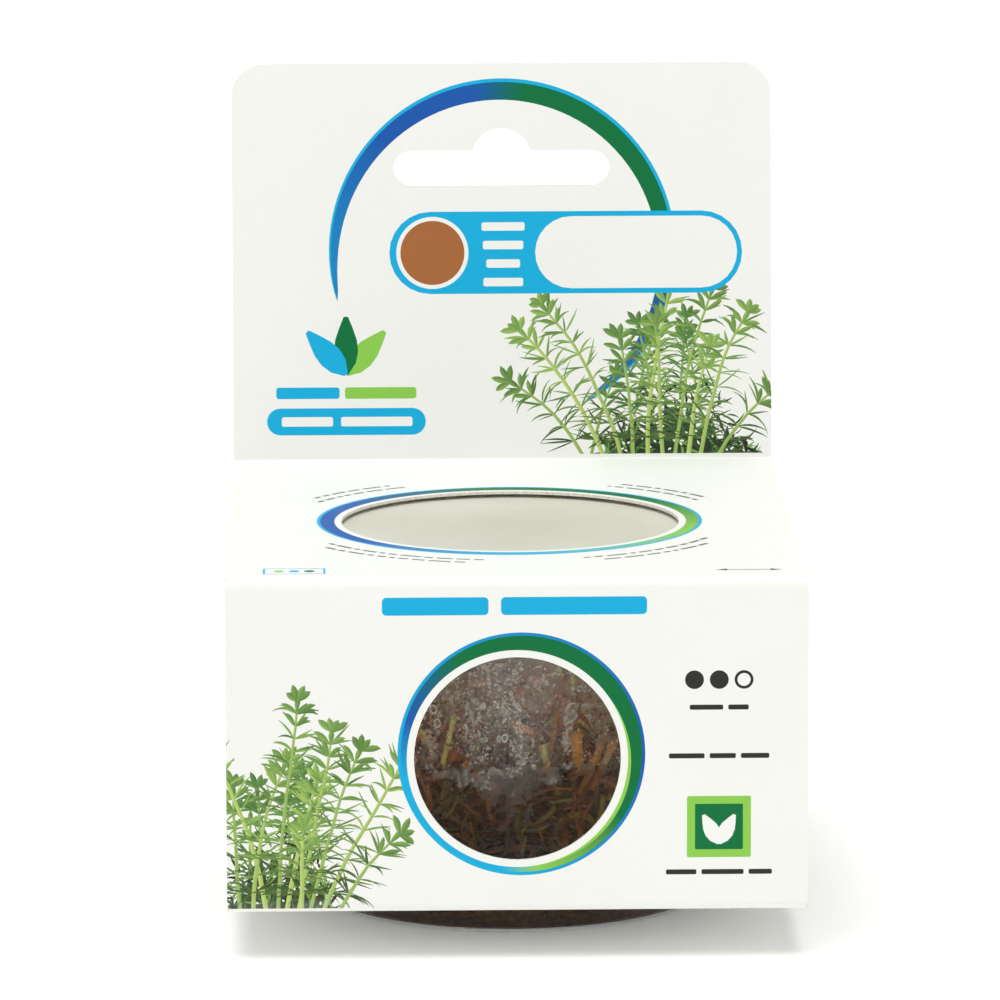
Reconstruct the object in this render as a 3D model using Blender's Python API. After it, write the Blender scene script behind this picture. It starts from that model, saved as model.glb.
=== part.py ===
"""Rotala plantlets in a lidded cup of clear gel, held in a folded card sleeve.

Metres, +Z up.  The origin is the middle of the cup's flat base, which stands on the shelf.
X runs across the front of the sleeve, -Y is the front with the round window.
"""
import bpy
import bmesh
import math
from mathutils import Matrix, Vector

MM = 0.001
GAP = 0.3 * MM                       # clearance between touching pieces

# card sleeve: one folded blank of card, open at its left and right sides
CARD = 0.45 * MM
SLEEVE_WIDTH = 80.0 * MM
SLEEVE_DEPTH = 98.0 * MM
BOX_HEIGHT = 46.7 * MM
FOLD_RADIUS = 1.2 * MM
SLEEVE_FLOOR = 6.9 * MM              # underside of the sleeve above the shelf
SLEEVE_SHIFT = 4.2 * MM              # middle of the sleeve behind the cup's axis
HEADER_LENGTH = 58.6 * MM
HEADER_PLIES = 2 * CARD
HEADER_LEAN = math.radians(6.0)
HEADER_CORNER = 4.8 * MM
WINDOW_RADIUS = 14.2 * MM
WINDOW_HEIGHT = 21.5 * MM            # middle of the window above the sleeve's underside
TOP_HOLE_RADIUS = 24.0 * MM

# hang slot in the header, measured up the header from the top panel
SLOT_WIDTH = 32.0 * MM
SLOT_HEIGHT = 5.3 * MM
SLOT_MIDDLE = 43.1 * MM
HAT_RADIUS = 4.4 * MM
HAT_RISE = 3.3 * MM

# cup: a thin tapered tub with a rolled flange
CUP_BASE_RADIUS = 28.45 * MM
CUP_RIM_RADIUS = 37.4 * MM
CUP_WALL = 0.6 * MM
CUP_FLOOR = 0.8 * MM
CUP_FOOT_ROUND = 1.5 * MM
FLANGE_THICKNESS = 0.9 * MM

# lid: a snap lid with a raised ring and a sunk middle
LID_RADIUS = 39.9 * MM
LID_WALL = 0.7 * MM
LID_SKIRT = 4.4 * MM
LID_SINK = 0.5 * MM
LID_PLUG_RADIUS = 35.0 * MM

# gel and stems
GEL_TOP = 23.5 * MM
GEL_MENISCUS = 0.8 * MM
STEM_RADIUS = 0.65 * MM
STEM_SIDES = 6
STEM_FOOT = 8.0 * MM                 # how deep the stems reach down in the gel
STEM_TOP = 43.0 * MM                 # the end of the tallest stem
STEM_RINGS = ((1, 0.0), (6, 12.4 * MM), (13, 25.2 * MM))
STEM_SPREAD = 0.10                   # how much wider the stems stand at their tops
STEM_SWAY = 1.6 * MM                 # all lean to the right and back again
STEM_DRIFT = 1.1 * MM                # and a little to the front
STEM_SHORTER = 4.2 * MM              # the shortest stem under the tallest
STEM_TURN = 2.4                      # radians from one stem's leaves to the next one's
BUD_TAPER = 0.35
WHORL_PITCH = 3.1 * MM
WHORL_BAND = 0.9 * MM
LEAF_LENGTH = 4.9 * MM
LEAF_RISE = 2.4 * MM                 # how far a leaf's tip rises above its foot
LEAF_VARIETY = 0.10

LATHE_SEGMENTS = 48
HOLE_SEGMENTS = 48
CORNER_SEGMENTS = 6

# levels that follow from the sizes above
SLEEVE_TOP = SLEEVE_FLOOR + BOX_HEIGHT
SLEEVE_FRONT = SLEEVE_SHIFT - SLEEVE_DEPTH / 2
SLEEVE_BACK = SLEEVE_SHIFT + SLEEVE_DEPTH / 2
LID_TOP = SLEEVE_TOP - CARD - GAP
CUP_HEIGHT = LID_TOP - LID_WALL - GAP
FLANGE_RADIUS = LID_RADIUS - LID_WALL - GAP


def cup_outer_radius(height):
    """Outside radius of the cup's tapered wall at a height above the base."""
    return CUP_BASE_RADIUS + (CUP_RIM_RADIUS - CUP_BASE_RADIUS) * height / CUP_HEIGHT


def clear_scene():
    for old in list(bpy.data.objects):
        bpy.data.objects.remove(old, do_unlink=True)


def finish_material(name, colour, roughness, transmission=0.0, ior=1.5):
    material = bpy.data.materials.new(name)
    material.use_nodes = True
    shader = material.node_tree.nodes["Principled BSDF"]
    shader.inputs["Base Color"].default_value = (*colour, 1.0)
    shader.inputs["Roughness"].default_value = roughness
    shader.inputs["Metallic"].default_value = 0.0
    shader.inputs["Transmission Weight"].default_value = transmission
    shader.inputs["IOR"].default_value = ior
    return material


def add_object(name, bm, material=None):
    """Put a bmesh in the scene as one named object with its faces pointing out."""
    bmesh.ops.recalc_face_normals(bm, faces=bm.faces)
    mesh = bpy.data.meshes.new(name)
    bm.to_mesh(mesh)
    bm.free()
    thing = bpy.data.objects.new(name, mesh)
    bpy.context.scene.collection.objects.link(thing)
    if material:
        mesh.materials.append(material)
    return thing


def cut(thing, name, bm):
    """Subtract a closed shape from an object with a Boolean modifier."""
    cutter = add_object(name, bm)
    cutter.hide_render = True
    cutter.display_type = "WIRE"
    modifier = thing.modifiers.new(name, "BOOLEAN")
    modifier.operation = "DIFFERENCE"
    modifier.solver = "EXACT"
    modifier.object = cutter


def arc(centre, radius, start, end, steps):
    """Points of an arc in a plane, from one angle to another in degrees."""
    points = []
    for step in range(steps + 1):
        angle = math.radians(start + (end - start) * step / steps)
        points.append((centre[0] + radius * math.cos(angle), centre[1] + radius * math.sin(angle)))
    return points


def prism(points, place, depth):
    """Extrude a flat outline: place maps (u, v) to space, depth is the way it is drawn out."""
    bm = bmesh.new()
    face = bm.faces.new([bm.verts.new(place(u, v)) for u, v in points])
    grown = bmesh.ops.extrude_face_region(bm, geom=[face], use_keep_orig=True)
    moved = [item for item in grown["geom"] if isinstance(item, bmesh.types.BMVert)]
    bmesh.ops.translate(bm, verts=moved, vec=depth)
    return bm


def cylinder(radius, start, end, segments):
    """A closed cylinder between two points on a line along an axis."""
    start, end = Vector(start), Vector(end)
    turn = (end - start).to_track_quat("Z", "Y").to_matrix().to_4x4()
    bm = bmesh.new()
    bmesh.ops.create_cone(
        bm, cap_ends=True, segments=segments, radius1=radius, radius2=radius,
        depth=(end - start).length, matrix=Matrix.Translation((start + end) / 2) @ turn)
    return bm


def turned(points, segments):
    """Spin a half outline about Z; its first and last points lie on the axis."""
    bm = bmesh.new()
    verts = [bm.verts.new((radius, 0.0, height)) for radius, height in points]
    edges = [bm.edges.new(pair) for pair in zip(verts, verts[1:])]
    bmesh.ops.spin(
        bm, geom=verts + edges, cent=(0, 0, 0), axis=(0, 0, 1),
        angle=2 * math.pi, steps=segments, use_merge=True)
    bmesh.ops.remove_doubles(bm, verts=bm.verts, dist=1e-6)
    return bm


def shade_round(thing, angle=35.0):
    thing.data.shade_smooth()
    thing.data.set_sharp_from_angle(angle=math.radians(angle))


# Card sleeve

def header_point(across, up, out=0.0):
    """A point on the header's back face: up runs along the card, out towards the front."""
    along = Vector((0, math.sin(HEADER_LEAN), math.cos(HEADER_LEAN)))
    normal = Vector((0, -math.cos(HEADER_LEAN), math.sin(HEADER_LEAN)))
    foot = Vector((across, SLEEVE_BACK, SLEEVE_TOP))
    return foot + along * up + normal * out


def sleeve_outline():
    """The folded card seen from the side, as (y, z): the box with the header on its back edge."""
    low, high = SLEEVE_FLOOR + FOLD_RADIUS, SLEEVE_TOP - FOLD_RADIUS
    front, back = SLEEVE_FRONT + FOLD_RADIUS, SLEEVE_BACK - FOLD_RADIUS
    points = arc((front, low), FOLD_RADIUS, 180, 270, CORNER_SEGMENTS)
    points += arc((back, low), FOLD_RADIUS, 270, 360, CORNER_SEGMENTS)
    points.append((SLEEVE_BACK, SLEEVE_TOP))
    for out in (0.0, HEADER_PLIES):
        corner = header_point(0, HEADER_LENGTH, out)
        points.append((corner.y, corner.z))
    points.append((SLEEVE_BACK - HEADER_PLIES / math.cos(HEADER_LEAN), SLEEVE_TOP))
    points += arc((front, high), FOLD_RADIUS, 90, 180, CORNER_SEGMENTS)
    return points


def sleeve_hollow():
    """The space inside the folded card, as (y, z)."""
    radius = FOLD_RADIUS - CARD
    low, high = SLEEVE_FLOOR + FOLD_RADIUS, SLEEVE_TOP - FOLD_RADIUS
    front, back = SLEEVE_FRONT + FOLD_RADIUS, SLEEVE_BACK - FOLD_RADIUS
    points = arc((front, low), radius, 180, 270, CORNER_SEGMENTS)
    points += arc((back, low), radius, 270, 360, CORNER_SEGMENTS)
    points += arc((back, high), radius, 0, 90, CORNER_SEGMENTS)
    points += arc((front, high), radius, 90, 180, CORNER_SEGMENTS)
    return points


def slot_outline():
    """The hang slot, as (across, up the header): a round-ended slot with a domed hat."""
    half = SLOT_HEIGHT / 2
    reach = SLOT_WIDTH / 2 - half
    top = SLOT_MIDDLE + half
    hat_low = top - (HAT_RADIUS - HAT_RISE)
    spread = math.degrees(math.acos((HAT_RADIUS - HAT_RISE) / HAT_RADIUS))
    points = arc((reach, SLOT_MIDDLE), half, -90, 90, 10)
    points += arc((0, hat_low), HAT_RADIUS, 90 - spread, 90 + spread, 12)
    points += arc((-reach, SLOT_MIDDLE), half, 90, 270, 10)
    return points


def build_sleeve():
    card = finish_material("white coated card", (0.87, 0.88, 0.84), 0.45)
    bm = prism(sleeve_outline(), lambda y, z: (-SLEEVE_WIDTH / 2, y, z), (SLEEVE_WIDTH, 0, 0))
    top_height = header_point(0, HEADER_LENGTH).z - HEADER_PLIES
    corners = []
    for edge in bm.edges:
        first, second = edge.verts
        across = abs(first.co.x - second.co.x) < CARD
        if across and min(first.co.z, second.co.z) > top_height:
            corners.append(edge)
    bmesh.ops.bevel(
        bm, geom=corners, offset=HEADER_CORNER, offset_type="OFFSET", segments=8,
        profile=0.5, affect="EDGES", material=-1)
    sleeve = add_object("card_sleeve", bm, card)

    past = 2 * CARD
    cut(sleeve, "cut_hollow", prism(
        sleeve_hollow(), lambda y, z: (-SLEEVE_WIDTH / 2 - past, y, z),
        (SLEEVE_WIDTH + 2 * past, 0, 0)))
    middle = SLEEVE_FLOOR + WINDOW_HEIGHT
    cut(sleeve, "cut_window", cylinder(
        WINDOW_RADIUS, (0, SLEEVE_FRONT - past, middle), (0, SLEEVE_FRONT + past, middle),
        HOLE_SEGMENTS))
    cut(sleeve, "cut_top_hole", cylinder(
        TOP_HOLE_RADIUS, (0, 0, SLEEVE_TOP - past), (0, 0, SLEEVE_TOP + past), HOLE_SEGMENTS))
    bottom_hole = cup_outer_radius(SLEEVE_FLOOR + CARD) + GAP
    cut(sleeve, "cut_bottom_hole", cylinder(
        bottom_hole, (0, 0, SLEEVE_FLOOR - past), (0, 0, SLEEVE_FLOOR + past), HOLE_SEGMENTS))
    through = header_point(0, 0, HEADER_PLIES + 2 * past) - header_point(0, 0, 0)
    cut(sleeve, "cut_slot", prism(
        slot_outline(), lambda across, up: header_point(across, up, -past), through))
    return sleeve


# Cup and lid

def build_cup():
    clear = finish_material("clear polypropylene", (0.95, 0.96, 0.95), 0.06, 1.0, 1.49)
    under_flange = CUP_HEIGHT - FLANGE_THICKNESS
    points = [(0.0, 0.0)]
    foot = (CUP_BASE_RADIUS - CUP_FOOT_ROUND, CUP_FOOT_ROUND)
    points += arc(foot, CUP_FOOT_ROUND, -90, 0, 4)
    points.append((cup_outer_radius(under_flange), under_flange))
    points.append((FLANGE_RADIUS, under_flange))
    points.append((FLANGE_RADIUS, CUP_HEIGHT))
    points.append((CUP_RIM_RADIUS - CUP_WALL, CUP_HEIGHT))
    inner_foot = (CUP_BASE_RADIUS - CUP_WALL - CUP_FOOT_ROUND, CUP_FLOOR + CUP_FOOT_ROUND)
    points += arc(inner_foot, CUP_FOOT_ROUND, 0, -90, 3)
    points.append((0.0, CUP_FLOOR))
    cup = add_object("cup", turned(points, LATHE_SEGMENTS), clear)
    shade_round(cup)
    return cup


def build_lid():
    milky = finish_material("milky polyethylene", (0.80, 0.79, 0.71), 0.4)
    panel = LID_TOP - LID_SINK
    wall = LID_WALL
    points = [(0.0, panel), (LID_PLUG_RADIUS - wall, panel), (LID_PLUG_RADIUS, LID_TOP)]
    points += arc((LID_RADIUS - wall, LID_TOP - wall), wall, 90, 0, 3)
    points.append((LID_RADIUS, LID_TOP - LID_SKIRT))
    points.append((LID_RADIUS - wall, LID_TOP - LID_SKIRT))
    points.append((LID_RADIUS - wall, LID_TOP - wall))
    points.append((LID_PLUG_RADIUS + wall, LID_TOP - wall))
    points.append((LID_PLUG_RADIUS, panel - wall))
    points.append((0.0, panel - wall))
    lid = add_object("lid", turned(points, LATHE_SEGMENTS), milky)
    shade_round(lid)
    return lid


# Gel and rotala stems

def stem_feet():
    """Where the stems stand, as (x, y): one in the middle and two rings about it."""
    feet = []
    for count, radius in STEM_RINGS:
        for index in range(count):
            angle = 2 * math.pi * (index + 0.5) / count - math.pi / 2
            feet.append((radius * math.cos(angle), radius * math.sin(angle)))
    return feet


def stem_axis(foot, height):
    """The middle of a stem at a height: straight in the gel, then fanning out and swaying."""
    above = max(0.0, height - GEL_TOP) / (STEM_TOP - GEL_TOP)
    spread = 1.0 + STEM_SPREAD * above
    sway = STEM_SWAY * math.sin(2.6 * above)
    drift = STEM_DRIFT * (1.0 - math.cos(2.2 * above))
    return Vector((foot[0] * spread + sway, foot[1] * spread - drift, height))


def build_gel(feet):
    jelly = finish_material("clear agar gel", (0.55, 0.40, 0.22), 0.1, 1.0, 1.34)
    low = CUP_FLOOR + GAP
    side = CUP_WALL + GAP
    wall = cup_outer_radius(GEL_TOP) - side
    points = [
        (0.0, low),
        (CUP_BASE_RADIUS - side - CUP_FOOT_ROUND, low),
        (cup_outer_radius(low + CUP_FOOT_ROUND) - side - GAP, low + CUP_FOOT_ROUND),
        (wall, GEL_TOP + GEL_MENISCUS),
        (wall - GEL_MENISCUS, GEL_TOP),
        (0.0, GEL_TOP),
    ]
    gel = add_object("agar_gel", turned(points, LATHE_SEGMENTS), jelly)
    shade_round(gel)
    holes = bmesh.new()
    for x, y in feet:
        middle = Matrix.Translation((x, y, (STEM_FOOT + GEL_TOP) / 2))
        bmesh.ops.create_cone(
            holes, cap_ends=True, segments=8, radius1=STEM_RADIUS + 2 * GAP,
            radius2=STEM_RADIUS + 2 * GAP, depth=GEL_TOP - STEM_FOOT + 2 * GEL_MENISCUS,
            matrix=middle)
    cut(gel, "cut_stem_holes", holes)
    return gel


def build_stem(name, foot, tip, phase, leaf, green):
    """A ringed stem whose side faces are drawn out to a whorl of needle leaves at each node."""
    heights = [STEM_FOOT, GEL_TOP]
    whorls = []
    level = GEL_TOP + WHORL_PITCH * (0.75 + 0.25 * math.sin(phase))
    while level < tip - WHORL_BAND:
        whorls.append(len(heights))
        heights += [level, level + WHORL_BAND]
        level += WHORL_PITCH
    heights.append(tip)

    bm = bmesh.new()
    ring = bmesh.ops.create_circle(bm, segments=STEM_SIDES, radius=STEM_RADIUS)["verts"]
    bmesh.ops.rotate(bm, verts=ring, cent=(0, 0, 0), matrix=Matrix.Rotation(phase, 3, "Z"))
    here = stem_axis(foot, heights[0])
    bmesh.ops.translate(bm, verts=ring, vec=here)
    edges = [edge for edge in bm.edges]
    bands = []
    for height in heights[1:]:
        grown = bmesh.ops.extrude_edge_only(bm, edges=edges)["geom"]
        ring = [item for item in grown if isinstance(item, bmesh.types.BMVert)]
        edges = [item for item in grown if isinstance(item, bmesh.types.BMEdge)
                 and all(vert in ring for vert in item.verts)]
        bands.append([item for item in grown if isinstance(item, bmesh.types.BMFace)])
        there = stem_axis(foot, height)
        bmesh.ops.translate(bm, verts=ring, vec=there - here)
        here = there
    shrink = Matrix.Translation(here) @ Matrix.Scale(BUD_TAPER, 4) @ Matrix.Translation(-here)
    bmesh.ops.transform(bm, matrix=shrink, verts=ring)
    bmesh.ops.holes_fill(bm, edges=[edge for edge in bm.edges if edge.is_boundary], sides=0)
    bmesh.ops.recalc_face_normals(bm, faces=bm.faces)

    for order, index in enumerate(whorls):
        reach = leaf * (1.0 - 0.06 * order)
        rise = LEAF_RISE * (1.0 + 0.1 * order)
        tips = bmesh.ops.poke(bm, faces=bands[index], offset=reach)["verts"]
        bmesh.ops.translate(bm, verts=tips, vec=(0, 0, rise))
    return add_object(name, bm, green)


def build_stems(feet):
    leaf_green = finish_material("rotala leaf", (0.16, 0.09, 0.03), 0.5)
    for index, foot in enumerate(feet):
        phase = STEM_TURN * index
        tip = STEM_TOP - STEM_SHORTER * (0.5 + 0.5 * math.sin(1.7 * index))
        leaf = LEAF_LENGTH * (1.0 - LEAF_VARIETY + LEAF_VARIETY * math.cos(2.3 * index))
        build_stem("rotala_stem_%02d" % (index + 1), foot, tip, phase, leaf, leaf_green)


def main():
    clear_scene()
    build_sleeve()
    build_cup()
    build_lid()
    feet = stem_feet()
    build_gel(feet)
    build_stems(feet)


main()
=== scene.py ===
import bisect
import math
import random
from types import SimpleNamespace

import bmesh
import bpy
import numpy as np
from bpy.props import FloatProperty, FloatVectorProperty, IntProperty, PointerProperty
from mathutils import Matrix, Vector, noise
from mathutils.geometry import delaunay_2d_cdt


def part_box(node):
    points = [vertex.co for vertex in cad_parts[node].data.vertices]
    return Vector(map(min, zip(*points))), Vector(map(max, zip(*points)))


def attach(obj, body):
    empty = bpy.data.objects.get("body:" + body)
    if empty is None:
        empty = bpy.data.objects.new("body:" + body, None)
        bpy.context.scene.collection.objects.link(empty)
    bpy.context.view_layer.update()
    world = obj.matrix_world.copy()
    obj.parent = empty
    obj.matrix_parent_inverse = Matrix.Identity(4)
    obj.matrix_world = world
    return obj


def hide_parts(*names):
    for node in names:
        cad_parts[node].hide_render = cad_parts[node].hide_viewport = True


bl_info = {
    "name": "Rotala cup in a card sleeve",
    "version": (1, 0, 0),
    "blender": (4, 5, 0),
    "location": "3D View > Sidebar > Rotala",
    "description": "Rotala plantlets in a clear gel cup, held in a printed card sleeve",
    "category": "Object",
}

# Metres, +Z up. The cup stands on Z = 0 with its axis on Z, and -Y is the front.
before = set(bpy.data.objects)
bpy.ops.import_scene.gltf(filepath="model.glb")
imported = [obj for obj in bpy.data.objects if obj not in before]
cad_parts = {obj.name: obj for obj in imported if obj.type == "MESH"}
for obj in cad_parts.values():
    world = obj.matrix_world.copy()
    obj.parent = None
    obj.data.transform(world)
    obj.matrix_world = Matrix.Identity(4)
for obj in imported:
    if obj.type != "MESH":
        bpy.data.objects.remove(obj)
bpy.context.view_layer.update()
SLEEVE_LOW, SLEEVE_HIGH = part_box("card_sleeve")
CUP_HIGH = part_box("cup")[1]
LID_LOW, LID_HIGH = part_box("lid")
GEL_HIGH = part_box("agar_gel")[1]

MM = 0.001
GAP = 0.3 * MM                       # the clearance that the solids keep to each other
SKIN = 0.02 * MM                     # the board's printed coat
MENISCUS = 0.8 * MM                  # how far the gel climbs the cup's wall
STEM_NODES = sorted(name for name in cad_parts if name.startswith("rotala_stem_"))


def srgb(text):
    """A hex sRGB colour as linear red, green, blue and alpha."""
    values = []
    for start in (1, 3, 5):
        value = int(text[start:start + 2], 16) / 255
        values.append(value / 12.92 if value <= 0.04045 else ((value + 0.055) / 1.055) ** 2.4)
    return (*values, 1.0)


def colour(name, description, text):
    """A colour property with a hex default."""
    return FloatVectorProperty(
        name=name, description=description, subtype="COLOR", size=4, min=0.0, max=1.0,
        default=srgb(text))


def length(name, description, value):
    """A length property in metres."""
    return FloatProperty(name=name, description=description, default=value, unit="LENGTH")


# Settings that a user would change

class SleeveSettings(bpy.types.PropertyGroup):
    """The folded card and its printed colours"""
    card: length("Card", "Thickness of the board", 0.45 * MM)
    fold_radius: length("Fold radius", "Outer radius of a fold", 1.2 * MM)
    header_length: length("Header", "Length of the header above the box", 58.6 * MM)
    header_corner: length("Header corner", "Radius of the header's top corners", 4.8 * MM)
    window_radius: length("Window radius", "Radius of the front window", 14.2 * MM)
    window_height: length("Window height", "Window's middle above the box's underside", 21.5 * MM)
    top_hole: length("Top hole radius", "Radius of the hole over the lid", 24.0 * MM)
    slot_width: length("Slot width", "Width of the hang slot", 32.0 * MM)
    slot_height: length("Slot height", "Height of the hang slot", 5.3 * MM)
    slot_middle: length("Slot middle", "Slot's middle up the header", 43.1 * MM)
    lean: FloatProperty(
        name="Header lean", description="How far the header leans back",
        default=math.radians(6.0), subtype="ANGLE")
    board: colour("Board", "Coated white board", "#e7e8e3")
    raw_board: colour("Raw board", "The board's unprinted inner side", "#e6e4db")
    azure: colour("Azure", "Light blue ink", "#0ea6d4")
    blue: colour("Blue", "Deep blue ink", "#1552a4")
    green: colour("Green", "Deep green ink", "#006b38")
    lime: colour("Lime", "Light green ink", "#86c24c")
    brown: colour("Brown", "Brown ink of the price field's disc", "#a06335")
    grey: colour("Grey", "Dark grey ink of the small print", "#2b2c2a")


class CupSettings(bpy.types.PropertyGroup):
    """The cup, its lid and the gel"""
    base_radius: length("Base radius", "Outer radius at the cup's base", 28.45 * MM)
    rim_radius: length("Rim radius", "Outer radius of the wall at the rim", 37.4 * MM)
    wall: length("Wall", "Thickness of the cup's wall", 0.6 * MM)
    floor: length("Floor", "Thickness of the cup's floor", 0.4 * MM)
    foot_round: length("Foot round", "Radius of the base's edge", 1.5 * MM)
    flange: length("Flange", "Thickness of the rolled flange", 0.9 * MM)
    lid_wall: length("Lid wall", "Thickness of the lid", 0.7 * MM)
    lid_sink: length("Lid sink", "Depth of the lid's sunk middle", 0.2 * MM)
    lid_plug: length("Lid plug", "Radius of the lid's sunk middle", 35.0 * MM)
    segments: IntProperty(name="Segments", description="Steps round the cup", default=288)
    plastic: colour("Cup plastic", "Clear polypropylene", "#fbfcfa")
    milky: colour("Lid plastic", "Milky polyethylene", "#eae8d9")
    gel: colour("Gel", "Agar gel stained by the plants", "#f3e4c8")


class PlantSettings(bpy.types.PropertyGroup):
    """The rotala stems"""
    stem_radius: length("Stem radius", "Radius of a stem", 0.6 * MM)
    leaf: length("Leaf", "Length of a needle leaf", 6.4 * MM)
    leaf_width: length("Leaf width", "Width of a needle leaf", 1.0 * MM)
    whorl_pitch: length("Whorl pitch", "Stem between two whorls", 2.2 * MM)
    sides: IntProperty(name="Leaves in a whorl", description="Leaves round each node", default=7)
    loose: IntProperty(name="Loose leaves", description="Leaves lying on the wall", default=640)
    olive: colour("Olive", "Older leaves", "#cdbf70")
    rust: colour("Rust", "Middle leaves", "#e6a056")
    maroon: colour("Maroon", "Shaded leaves", "#c28672")
    pink: colour("Pink", "Young tips", "#eeaea0")
    stem: colour("Stem", "Stems", "#cdaa7c")
    dusk: colour("Dusk", "Dead leaves", "#86704f")


class StageSettings(bpy.types.PropertyGroup):
    """The floor, the lights and the camera"""
    floor: colour("Floor", "Pale floor", "#f4f4f2")
    glow: FloatProperty(name="Floor glow", description="Light from under the white table",
                        default=0.13)
    sky: FloatProperty(name="Sky", description="Brightness of the surround overhead", default=0.62)
    cove: FloatProperty(name="Cove", description="Brightness of the surround by the horizon",
                        default=1.0)
    key: FloatProperty(name="Key light", description="Strength of the soft key light",
                       default=2.2)
    key_rise: FloatProperty(name="Key rise", description="Height of the key light over the front",
                            default=math.radians(76.0), subtype="ANGLE")
    key_spread: FloatProperty(name="Key spread", description="How wide the key light looks",
                              default=math.radians(45.0), subtype="ANGLE")


# Small helpers for meshes

def arc(centre, radius, start, end, steps):
    """Points of an arc in a plane, from one angle to another in degrees."""
    points = []
    for step in range(steps + 1):
        angle = math.radians(start + (end - start) * step / steps)
        points.append((centre[0] + radius * math.cos(angle), centre[1] + radius * math.sin(angle)))
    return points


def blend_colours(first, second, part):
    """A colour part of the way from one to another."""
    return [a + (b - a) * part for a, b in zip(first, second)]


def ramp(value, low, high):
    """How far a value is from low to high, kept between 0 and 1."""
    return min(max((value - low) / (high - low), 0.0), 1.0)


def wall_radius(cup, height):
    """Outer radius of the cup's wall at a height."""
    return cup.base_radius + (cup.rim_radius - cup.base_radius) * height / CUP_HIGH.z


def finish_piece(name, bm, materials, replaced=(), sharp=35.0):
    """Make the bmesh one piece of the object: shaded round, riding on the frame."""
    mesh = bpy.data.meshes.new(name)
    bm.to_mesh(mesh)
    bm.free()
    return finish_mesh(name, mesh, materials, replaced, sharp)


def finish_mesh(name, mesh, materials, replaced=(), sharp=35.0):
    """Give a mesh its materials and its body, and hide the solids that it replaces."""
    for material in materials:
        mesh.materials.append(material)
    mesh.shade_smooth()
    mesh.set_sharp_from_angle(angle=math.radians(sharp))
    piece = bpy.data.objects.new(name, mesh)
    bpy.context.scene.collection.objects.link(piece)
    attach(piece, "root")
    if replaced:
        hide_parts(*replaced)
    return piece


def turned(points, segments):
    """Spin a half outline about Z; its first and last points lie on the axis."""
    bm = bmesh.new()
    verts = [bm.verts.new((radius, 0.0, height)) for radius, height in points]
    edges = [bm.edges.new(pair) for pair in zip(verts, verts[1:])]
    bmesh.ops.spin(
        bm, geom=verts + edges, cent=(0, 0, 0), axis=(0, 0, 1),
        angle=2 * math.pi, steps=segments, use_merge=True)
    bmesh.ops.remove_doubles(bm, verts=bm.verts, dist=1e-6)
    bmesh.ops.recalc_face_normals(bm, faces=bm.faces)
    return bm


def add_node(tree, kind, settings=None, links=None):
    """Add a node: settings are its attributes or inputs by name, links join inputs to sockets."""
    node = tree.nodes.new(kind)
    for name, value in (settings or {}).items():
        if isinstance(name, str) and hasattr(node, name):
            setattr(node, name, value)
        else:
            node.inputs[name].default_value = value
    for name, socket in (links or {}).items():
        tree.links.new(socket, node.inputs[name])
    return node


def new_material(name, settings):
    """A material with a Principled shader; returns it with its tree and shader."""
    material = bpy.data.materials.new(name)
    material.use_nodes = True
    tree = material.node_tree
    shader = tree.nodes["Principled BSDF"]
    for key, value in settings.items():
        shader.inputs[key].default_value = value
    return material, tree, shader


def object_noise(tree, scale_mm, detail=2.0, roughness=0.5, stretch=(1.0, 1.0, 1.0)):
    """Noise on Object coordinates whose blotches are about scale_mm across."""
    place = add_node(tree, "ShaderNodeTexCoord")
    turn = add_node(tree, "ShaderNodeMapping", {"Scale": stretch},
                    {"Vector": place.outputs["Object"]})
    return add_node(
        tree, "ShaderNodeTexNoise",
        {"Scale": 1.0 / (scale_mm * MM), "Detail": detail, "Roughness": roughness},
        {"Vector": turn.outputs["Vector"]})


def ramp_between(tree, factor, low, high, start, end):
    """Map a factor from one range to another, clamped."""
    return add_node(
        tree, "ShaderNodeMapRange",
        {"From Min": low, "From Max": high, "To Min": start, "To Max": end},
        {"Value": factor}).outputs["Result"]


def add_bump(tree, shader, height, distance_mm, strength=1.0):
    """Bump a shader by a height socket."""
    bump = add_node(
        tree, "ShaderNodeBump", {"Strength": strength, "Distance": distance_mm * MM},
        {"Height": height})
    tree.links.new(bump.outputs["Normal"], shader.inputs["Normal"])


def painted(tree, name):
    """The value or colour that the mesh carries under a name."""
    return add_node(tree, "ShaderNodeAttribute", {"attribute_name": name})


def combine(tree, operation, first, second):
    """Two factors, added or multiplied."""
    node = add_node(tree, "ShaderNodeMath", {"operation": operation}, {0: first, 1: second})
    return node.outputs["Value"]


def mix_colour(tree, factor, first, second, blend="MIX"):
    """Mix two colours; each is a socket or a value, and so is the factor."""
    node = add_node(tree, "ShaderNodeMix", {"data_type": "RGBA", "blend_type": blend})
    for index, value in ((0, factor), (6, first), (7, second)):
        if isinstance(value, bpy.types.NodeSocket):
            tree.links.new(value, node.inputs[index])
        else:
            node.inputs[index].default_value = value
    return node.outputs[2]


def noise_mix(tree, texture, low, high, first, second, most=1.0, blend="MIX"):
    """Mix two colours as a noise goes from low to high, up to a share of the second."""
    share = ramp_between(tree, texture.outputs["Fac"], low, high, 0.0, most)
    return mix_colour(tree, share, first, second, blend)


# Materials: noise sizes and bump heights are in millimetres

PLASTIC_IOR = 1.49
WATER_IOR = 1.333


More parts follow.
